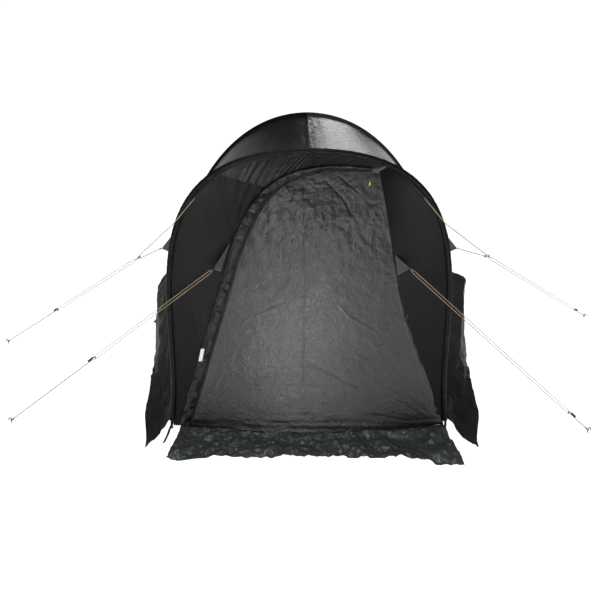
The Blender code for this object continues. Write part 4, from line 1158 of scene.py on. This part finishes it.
# %% Cords, knots and line locks
def cord(name, points, radius=CORD_RADIUS, material=tan_cord, sides=8, node=None):
    """A round cord through points, closed to a tip at both ends."""
    line = np.asarray(points, float)
    thick = np.full((len(line), 1), radius)
    line = np.concatenate([line[:1], line, line[-1:]])
    line[0] -= 1e-4 * (line[2] - line[1]) / np.linalg.norm(line[2] - line[1])
    line[-1] += 1e-4 * (line[-2] - line[-3]) / np.linalg.norm(line[-2] - line[-3])
    thick = np.concatenate([[[radius * 0.05]], thick, [[radius * 0.05]]])
    made = surface(name, tube_points(line, thick, sides, (0.13, 0.86, 0.49)), [material], closed=True)
    if node:
        return dress(made, node)
    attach(made, "shelter")
    return made


def smooth_line(points, count):
    """A smooth curve through a few points, sampled evenly enough for a cord."""
    points = np.asarray(points, float)
    padded = np.concatenate([2 * points[:1] - points[1:2], points, 2 * points[-1:] - points[-2:-1]])
    made = []
    for a, b, c, d in zip(padded, padded[1:], padded[2:], padded[3:]):
        for f in np.linspace(0, 1, max(2, count // (len(points) - 1)), endpoint=False):
            made.append(0.5 * (2 * b + (c - a) * f + (2 * a - 5 * b + 4 * c - d) * f ** 2
                               + (3 * b - a - 3 * c + d) * f ** 3))
    return np.array(made + [points[-1]])


def knot(name, centre, along, size, material=tan_cord):
    """An overhand knot, drawn as a trefoil that is squeezed along the cord."""
    turn = np.linspace(0, 2 * math.pi, 49)
    shape = np.stack([np.sin(turn) + 2 * np.sin(2 * turn), np.cos(turn) - 2 * np.cos(2 * turn),
                      -1.4 * np.sin(3 * turn)], axis=-1) * size / 3
    along = Vector(along).to_track_quat("Z", "Y").to_matrix()
    return cord(name, shape @ np.array(along).T + centre, 0.42 * size, material, 6)


def moulded_plate(name, outline, holes, thickness, centre, along, up, material, node):
    """A flat moulded part with rounded edges and holes, from an outline in millimetres."""
    curve = bpy.data.curves.new(name, "CURVE")
    curve.dimensions = "2D"
    curve.fill_mode = "BOTH"
    curve.extrude = thickness / 2 - 0.0006
    curve.bevel_depth = 0.0006
    curve.bevel_resolution = 2
    for ring in [outline] + holes:
        spline = curve.splines.new("POLY")
        spline.points.add(len(ring) - 1)
        for point, (x, y) in zip(spline.points, ring):
            point.co = (x / 1000, y / 1000, 0.0, 1.0)
        spline.use_cyclic_u = True
    curve.materials.append(material)
    made = bpy.data.objects.new(name, curve)
    bpy.context.scene.collection.objects.link(made)
    along, up = Vector(along).normalized(), Vector(up)
    up = (up - along * up.dot(along)).normalized()
    side = up.cross(along)
    turn = [[along[i], side[i], up[i]] for i in range(3)]
    made.rotation_mode = "QUATERNION"
    made.rotation_quaternion = Matrix(turn).to_quaternion()
    made.location = centre
    dress(made, node)
    return made


def round_hole(x, y, radius, count=12):
    """A hole of a moulded plate."""
    angles = np.linspace(0, 2 * math.pi, count, False)
    return [(x + radius * math.cos(a), y + radius * math.sin(a)) for a in angles]


def wedge_outline():
    """A wedge with rounded corners, wide towards the shelter."""
    corners = ((-11.0, 4.0, 2.0), (-11.0, -4.0, 2.0), (10.0, -0.5, 2.0), (10.0, 0.5, 2.0))
    starts = (90, 180, 270, 0)
    return [(x + r * math.cos(math.radians(start + step)), y + r * math.sin(math.radians(start + step)))
            for (x, y, r), start in zip(corners, starts) for step in (0, 30, 60, 90)]


def pill_outline():
    """A long plate with half-round ends."""
    return ([(-6.5 + 5.5 * math.cos(a), 5.5 * math.sin(a)) for a in np.linspace(math.pi / 2, 1.5 * math.pi, 9)]
            + [(6.5 + 5.5 * math.cos(a), 5.5 * math.sin(a)) for a in np.linspace(-math.pi / 2, math.pi / 2, 9)])


PEG_LINE_HEIGHT = 0.012
STRAND_GAP = 0.0046
STRAND_RADIUS = 0.00125
STRAND_OPENING = 0.03
LOCK_THICKNESS = 0.006
LOCK_LIFT = 0.0049
PEG_GAP = 0.0065
PEG_LOOP_RADIUS = 0.0042


def guy_line(name, node, start, peg, lock_share, lock_node, outline):
    """A doubled cord to the line lock, a single one to the peg, and the lock and knots."""
    peg_spot = np.array([peg[0], peg[1], PEG_LINE_HEIGHT])
    along = (peg_spot - start) / np.linalg.norm(peg_spot - start)
    end = peg_spot - along * PEG_GAP
    lock = start + (end - start) * lock_share
    above = np.array([0, 0, 1.0]) - along * along[2]
    above /= np.linalg.norm(above)
    length = np.linalg.norm(lock - start)
    run = np.linspace(0, 1, 40)[:, None]
    spread = STRAND_GAP * np.sin(np.pi * np.clip(np.minimum(run, 1 - run) * length / STRAND_OPENING, 0, 0.5))
    straight = start + (lock - start) * run
    upper = straight + above * spread
    lower = straight - above * spread
    loop = np.concatenate([lower[::-1], upper])
    cord(name + "_doubled", loop, STRAND_RADIUS, tan_cord, node=node)
    tail = lock + (end - lock) * np.linspace(0, 1, 12)[:, None]
    cord(name + "_single", tail, CORD_RADIUS, single_cord)
    knot(name + "_lock_knot", lock - along * 0.020, along, 0.0035)
    knot(name + "_peg_knot", end - along * 0.004, along, 0.0028, single_cord)
    around = np.linspace(0.5 * math.pi, 2.5 * math.pi, 25)
    flat = along * [1, 1, 0] / np.linalg.norm(along * [1, 1, 0])
    sideways = np.array([-flat[1], flat[0], 0.0])
    loop = np.outer(np.sin(around), -flat) + np.outer(np.cos(around), sideways)
    cord(name + "_peg_loop", peg_spot - 0.001 * flat + PEG_LOOP_RADIUS * loop, 0.0011, single_cord)
    moulded_plate(name + "_lock", outline, [round_hole(-6.0, 0, 1.9), round_hole(5.0, 0, 1.6)], LOCK_THICKNESS,
                  lock + above * LOCK_LIFT, along, above, lock_plastic, lock_node)


for side, hand in SIDES:
    outline = wedge_outline() if side < 0 else pill_outline()
    tip_x, tip_behind, tip_z = DOOR_PATCH_TIPS[side]
    tip = np.array([tip_x, FRONT_Y + tip_behind, tip_z])
    peg = (side * FRONT_PEGS[side][0], FRONT_Y + FRONT_PEGS[side][1])
    guy_line("front_guy_" + hand, "front_guy_line_" + hand, tip, peg, LOCK_SHARES["front"][side],
             "front_line_lock_" + hand, outline)
    knot("patch_loop_" + hand, tip + [side * 0.001, 0, 0], (side, 0, -0.6), 0.0030, dark_thread)
    ring_x, ring_behind, ring_z = RINGS[side]
    ring = np.array([side * ring_x, FRONT_Y + ring_behind, ring_z])
    peg = (side * HOOP_PEGS[side][0], FRONT_Y + HOOP_PEGS[side][1])
    pull = np.array([peg[0], peg[1], PEG_LINE_HEIGHT]) - ring
    pull /= np.linalg.norm(pull)
    guy_line("hoop_guy_" + hand, "hoop_guy_line_" + hand, ring + pull * (RING_WIDE + RING_WIRE + 0.0003), peg,
             LOCK_SHARES["hoop"][side], "hoop_line_lock_" + hand, outline)
    rest = beside_hoop(0.80, side, 0.011, -0.012)
    through = rest - ring
    through -= pull * through.dot(pull)
    through /= np.linalg.norm(through)
    turn = np.linspace(0, 2 * math.pi, 41)[:, None]
    third = np.cross(pull, through)
    circle = ring + RING_WIDE * (pull * np.cos(turn) + third * np.sin(turn))
    ring_tube = tube_points(circle, np.full((41, 1), RING_WIRE), 10, tuple(through))
    wire = surface("guy_ring_wire_" + hand, ring_tube, [ring_steel], closed=True)
    dress(wire, "guy_ring_" + hand)
    near_wire = ring - pull * RING_WIDE
    bend = [near_wire + (through * math.cos(a) + pull * math.sin(a)) * BRIDLE_BEND
            for a in np.linspace(0, math.pi, 5)]
    tab = np.array([side * TAB_OUT, FRONT_Y - 0.016, TAB_HEIGHT])
    patch = np.array([side * HOOP_PATCH_OUT, FRONT_Y + 0.016, HOOP_PATCH_HEIGHT])
    route = np.concatenate([np.linspace(tab, rest, 8)[:-1], np.linspace(rest, bend[0], 20)[:-1],
                            smooth_line(bend, 16), np.linspace(bend[-1], patch, 20)[1:]])
    cord("bridle_cord_" + hand, route, CORD_RADIUS, tan_cord, node="guy_bridle_" + hand)
    knot("bridle_knot_" + hand, patch, patch - ring, 0.0028)
    knot("bridle_tab_knot_" + hand, tab, tab - ring, 0.0026, dark_thread)

# %% [markdown]
# The pegs are bent steel rod. Only the head and the last centimetres of the shaft show above the ground.

# %% Pegs
PEG_STAND = 0.017
PEG_ROD_RADIUS = 0.002
PEG_HOOK = ((0.0, 0.0), (0.002, 0.0035), (0.006, 0.004), (0.009, 0.001), (0.0095, -0.005))
for kind, pegs in (("front", FRONT_PEGS), ("hoop", HOOP_PEGS)):
    for side, hand in SIDES:
        foot = np.array([side * pegs[side][0], FRONT_Y + pegs[side][1], 0.0])
        bends = [foot + [side * out, 0.0, PEG_STAND + up] for out, up in PEG_HOOK]
        rod = np.concatenate([[foot], smooth_line(bends, 24)])
        cord(kind + "_peg_rod_" + hand, rod, PEG_ROD_RADIUS, peg_steel, 10, node=kind + "_peg_" + hand)
print("pegs stand", PEG_STAND, "m")

# %% [markdown]
# A real slider is two plates round the coil, joined by a neck, with a bail that carries the pull. At this size
# one dark plate and a small brass pull stand for it. Known fault: in the model the slider belongs to the door,
# but both pieces here ride on the shelter, so they stay behind when the door opens. The toggle that holds the
# rolled door is a turned barrel with a collar of cord.

# %% Slider and toggle
SLIDER_AT = (0.205, 0.922)
TOGGLE_AT = (0.346, 0.455)
TOGGLE_LEAN = math.radians(15.0)

slider_spot = on_wall(*[np.array(v) for v in SLIDER_AT], 0.0075)
body_outline = [(-3.2, 4.4), (-4.4, 2.5), (-4.4, -1.5), (-2.6, -5.5),
                (2.6, -5.5), (4.4, -1.5), (4.4, 2.5), (3.2, 4.4)]
moulded_plate("slider_body", [(y, x) for x, y in body_outline], [], 0.0040, slider_spot + [0, 0, 0.008],
              (0, 0.05, 1), FORWARD, lock_plastic, "zip_slider")
pull_outline = [(-6.0, 2.2), (-7.2, 0.0), (-6.0, -2.2), (5.0, -1.6), (6.5, 0.0), (5.0, 1.6)]
pull_holes = [round_hole(4.0, 0, 0.8, 8), round_hole(-4.6, 0, 1.0, 8)]
moulded_plate("slider_pull", pull_outline, pull_holes, 0.0014, slider_spot + [0, -0.0016, -0.006],
              (0.08, 0.05, 1), FORWARD, slider_brass, "zip_slider")
barrel = on_wall(*[np.array(v) for v in TOGGLE_AT], 0.0080)
lean = np.array([math.sin(TOGGLE_LEAN), 0.0, math.cos(TOGGLE_LEAN)])
run = np.array([-13.0, -12.8, -12.0, -10.0, -5.0, -1.6, -1.2,
                1.2, 1.6, 5.0, 10.0, 12.0, 12.8, 13.0])[:, None] / 1000
wide = np.array([0.2, 1.8, 2.6, 3.2, 3.9, 4.0, 3.3, 3.3, 4.0, 3.9, 3.2, 2.6, 1.8, 0.2])[:, None] / 1000
toggle = surface("toggle_barrel", tube_points(barrel + run * lean, wide, 16), [lock_plastic], closed=True)
dress(toggle, "tie_back_toggle")
turn = np.linspace(0, 2 * math.pi, 31)[:, None]
collar = barrel + 0.0036 * (np.cos(turn) * np.array([math.cos(TOGGLE_LEAN), 0, -math.sin(TOGGLE_LEAN)])
                            + np.sin(turn) * np.array([0, 1.0, 0]))
cord("toggle_collar", collar, 0.0009, dark_thread, 6)
print("slider at", slider_spot, "toggle at", barrel)

# %% [markdown]
# A care label of white satin hangs at the outer edge of the flap, left blank here, with a dark red bar of
# thread above it, and a black webbing tail lies at the left foot.

# %% Label, bar of thread and strap tail
label_rows, label_columns = np.meshgrid(np.linspace(0, 1, 24), np.linspace(0, 1, 8), indexing="ij")
label_x = -0.386 + 0.013 * label_columns - 0.011 * label_rows
label_z = 0.336 - 0.048 * label_rows
curl = 0.0060 + 0.0030 * np.sin(label_rows * 2.6) + 0.0008 * hills(label_columns * 3, label_rows * 4, 160)
label = thicken(surface("care_label_blank", on_wall(label_x, label_z, curl + 0.010), [satin]), 0.0003)
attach(label, "shelter")
bar = np.linspace([-0.3715, 0, 0.352], [-0.3665, 0, 0.358], 8)
stitches("red_bar_of_thread", on_wall(bar[:, 0], bar[:, 2], 0.0165), FORWARD, red_thread, 0.0011, 0.0009,
         0.0011)
webbing_path = smooth_line([(-0.500, FRONT_Y + 0.006, 0.030), (-0.512, FRONT_Y - 0.020, 0.020),
                            (-0.520, FRONT_Y - 0.060, 0.006), (-0.526, FRONT_Y - 0.107, 0.0035)], 36)
width_way = np.array([0.84, 0.0, 0.50])
strap = np.stack([webbing_path + width_way * w for w in np.linspace(-0.006, 0.006, 6)], axis=1)
strap = thicken(surface("strap_tail_webbing", strap, [webbing]), 0.0012)
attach(strap, "shelter")
print("label and strap tail made")

# %% [markdown]
# The hems and the ridge are sewn too. Rows of thread along them are the last thing that a tent maker does.

# %% Hems and ridge
skirt_tree = tree_of(bpy.data.objects["front_skirt_cloth"])
x = np.linspace(-0.45, 0.50, 200)
edge_reach = -(FRONT_SKIRT_REACH - 0.012 + (FRONT_REACH - FRONT_SKIRT_REACH)
               * (ease((x - 0.28) / 0.16) + 0.4 * ease((-x - 0.35) / 0.1)))
above_skirt = np.stack([x, FRONT_Y + edge_reach, np.full_like(x, 0.2)], axis=-1)
stitches("front_skirt_hem_thread", resting_on(skirt_tree, above_skirt, (0, 0, -1)) + [0, 0, 0.0006], (0, 0, 1),
         grey_thread, 0.008, 0.005, 0.0005)
for side, hand in SIDES:
    roof_tree = tree_of(bpy.data.objects["front_bay_cloth_" + hand])
    y = np.linspace(FRONT_Y + 0.02, MAIN_Y - 0.04, 220)
    above_ridge = np.stack([np.full_like(y, side * 0.006), y, np.full_like(y, 1.3)], axis=-1)
    stitches("ridge_thread_" + hand, resting_on(roof_tree, above_ridge, (0, 0, -1)) + [0, 0, 0.0005], (0, 0, 1),
             dark_thread, 0.006, 0.004, 0.0005)
print("all threads laid")
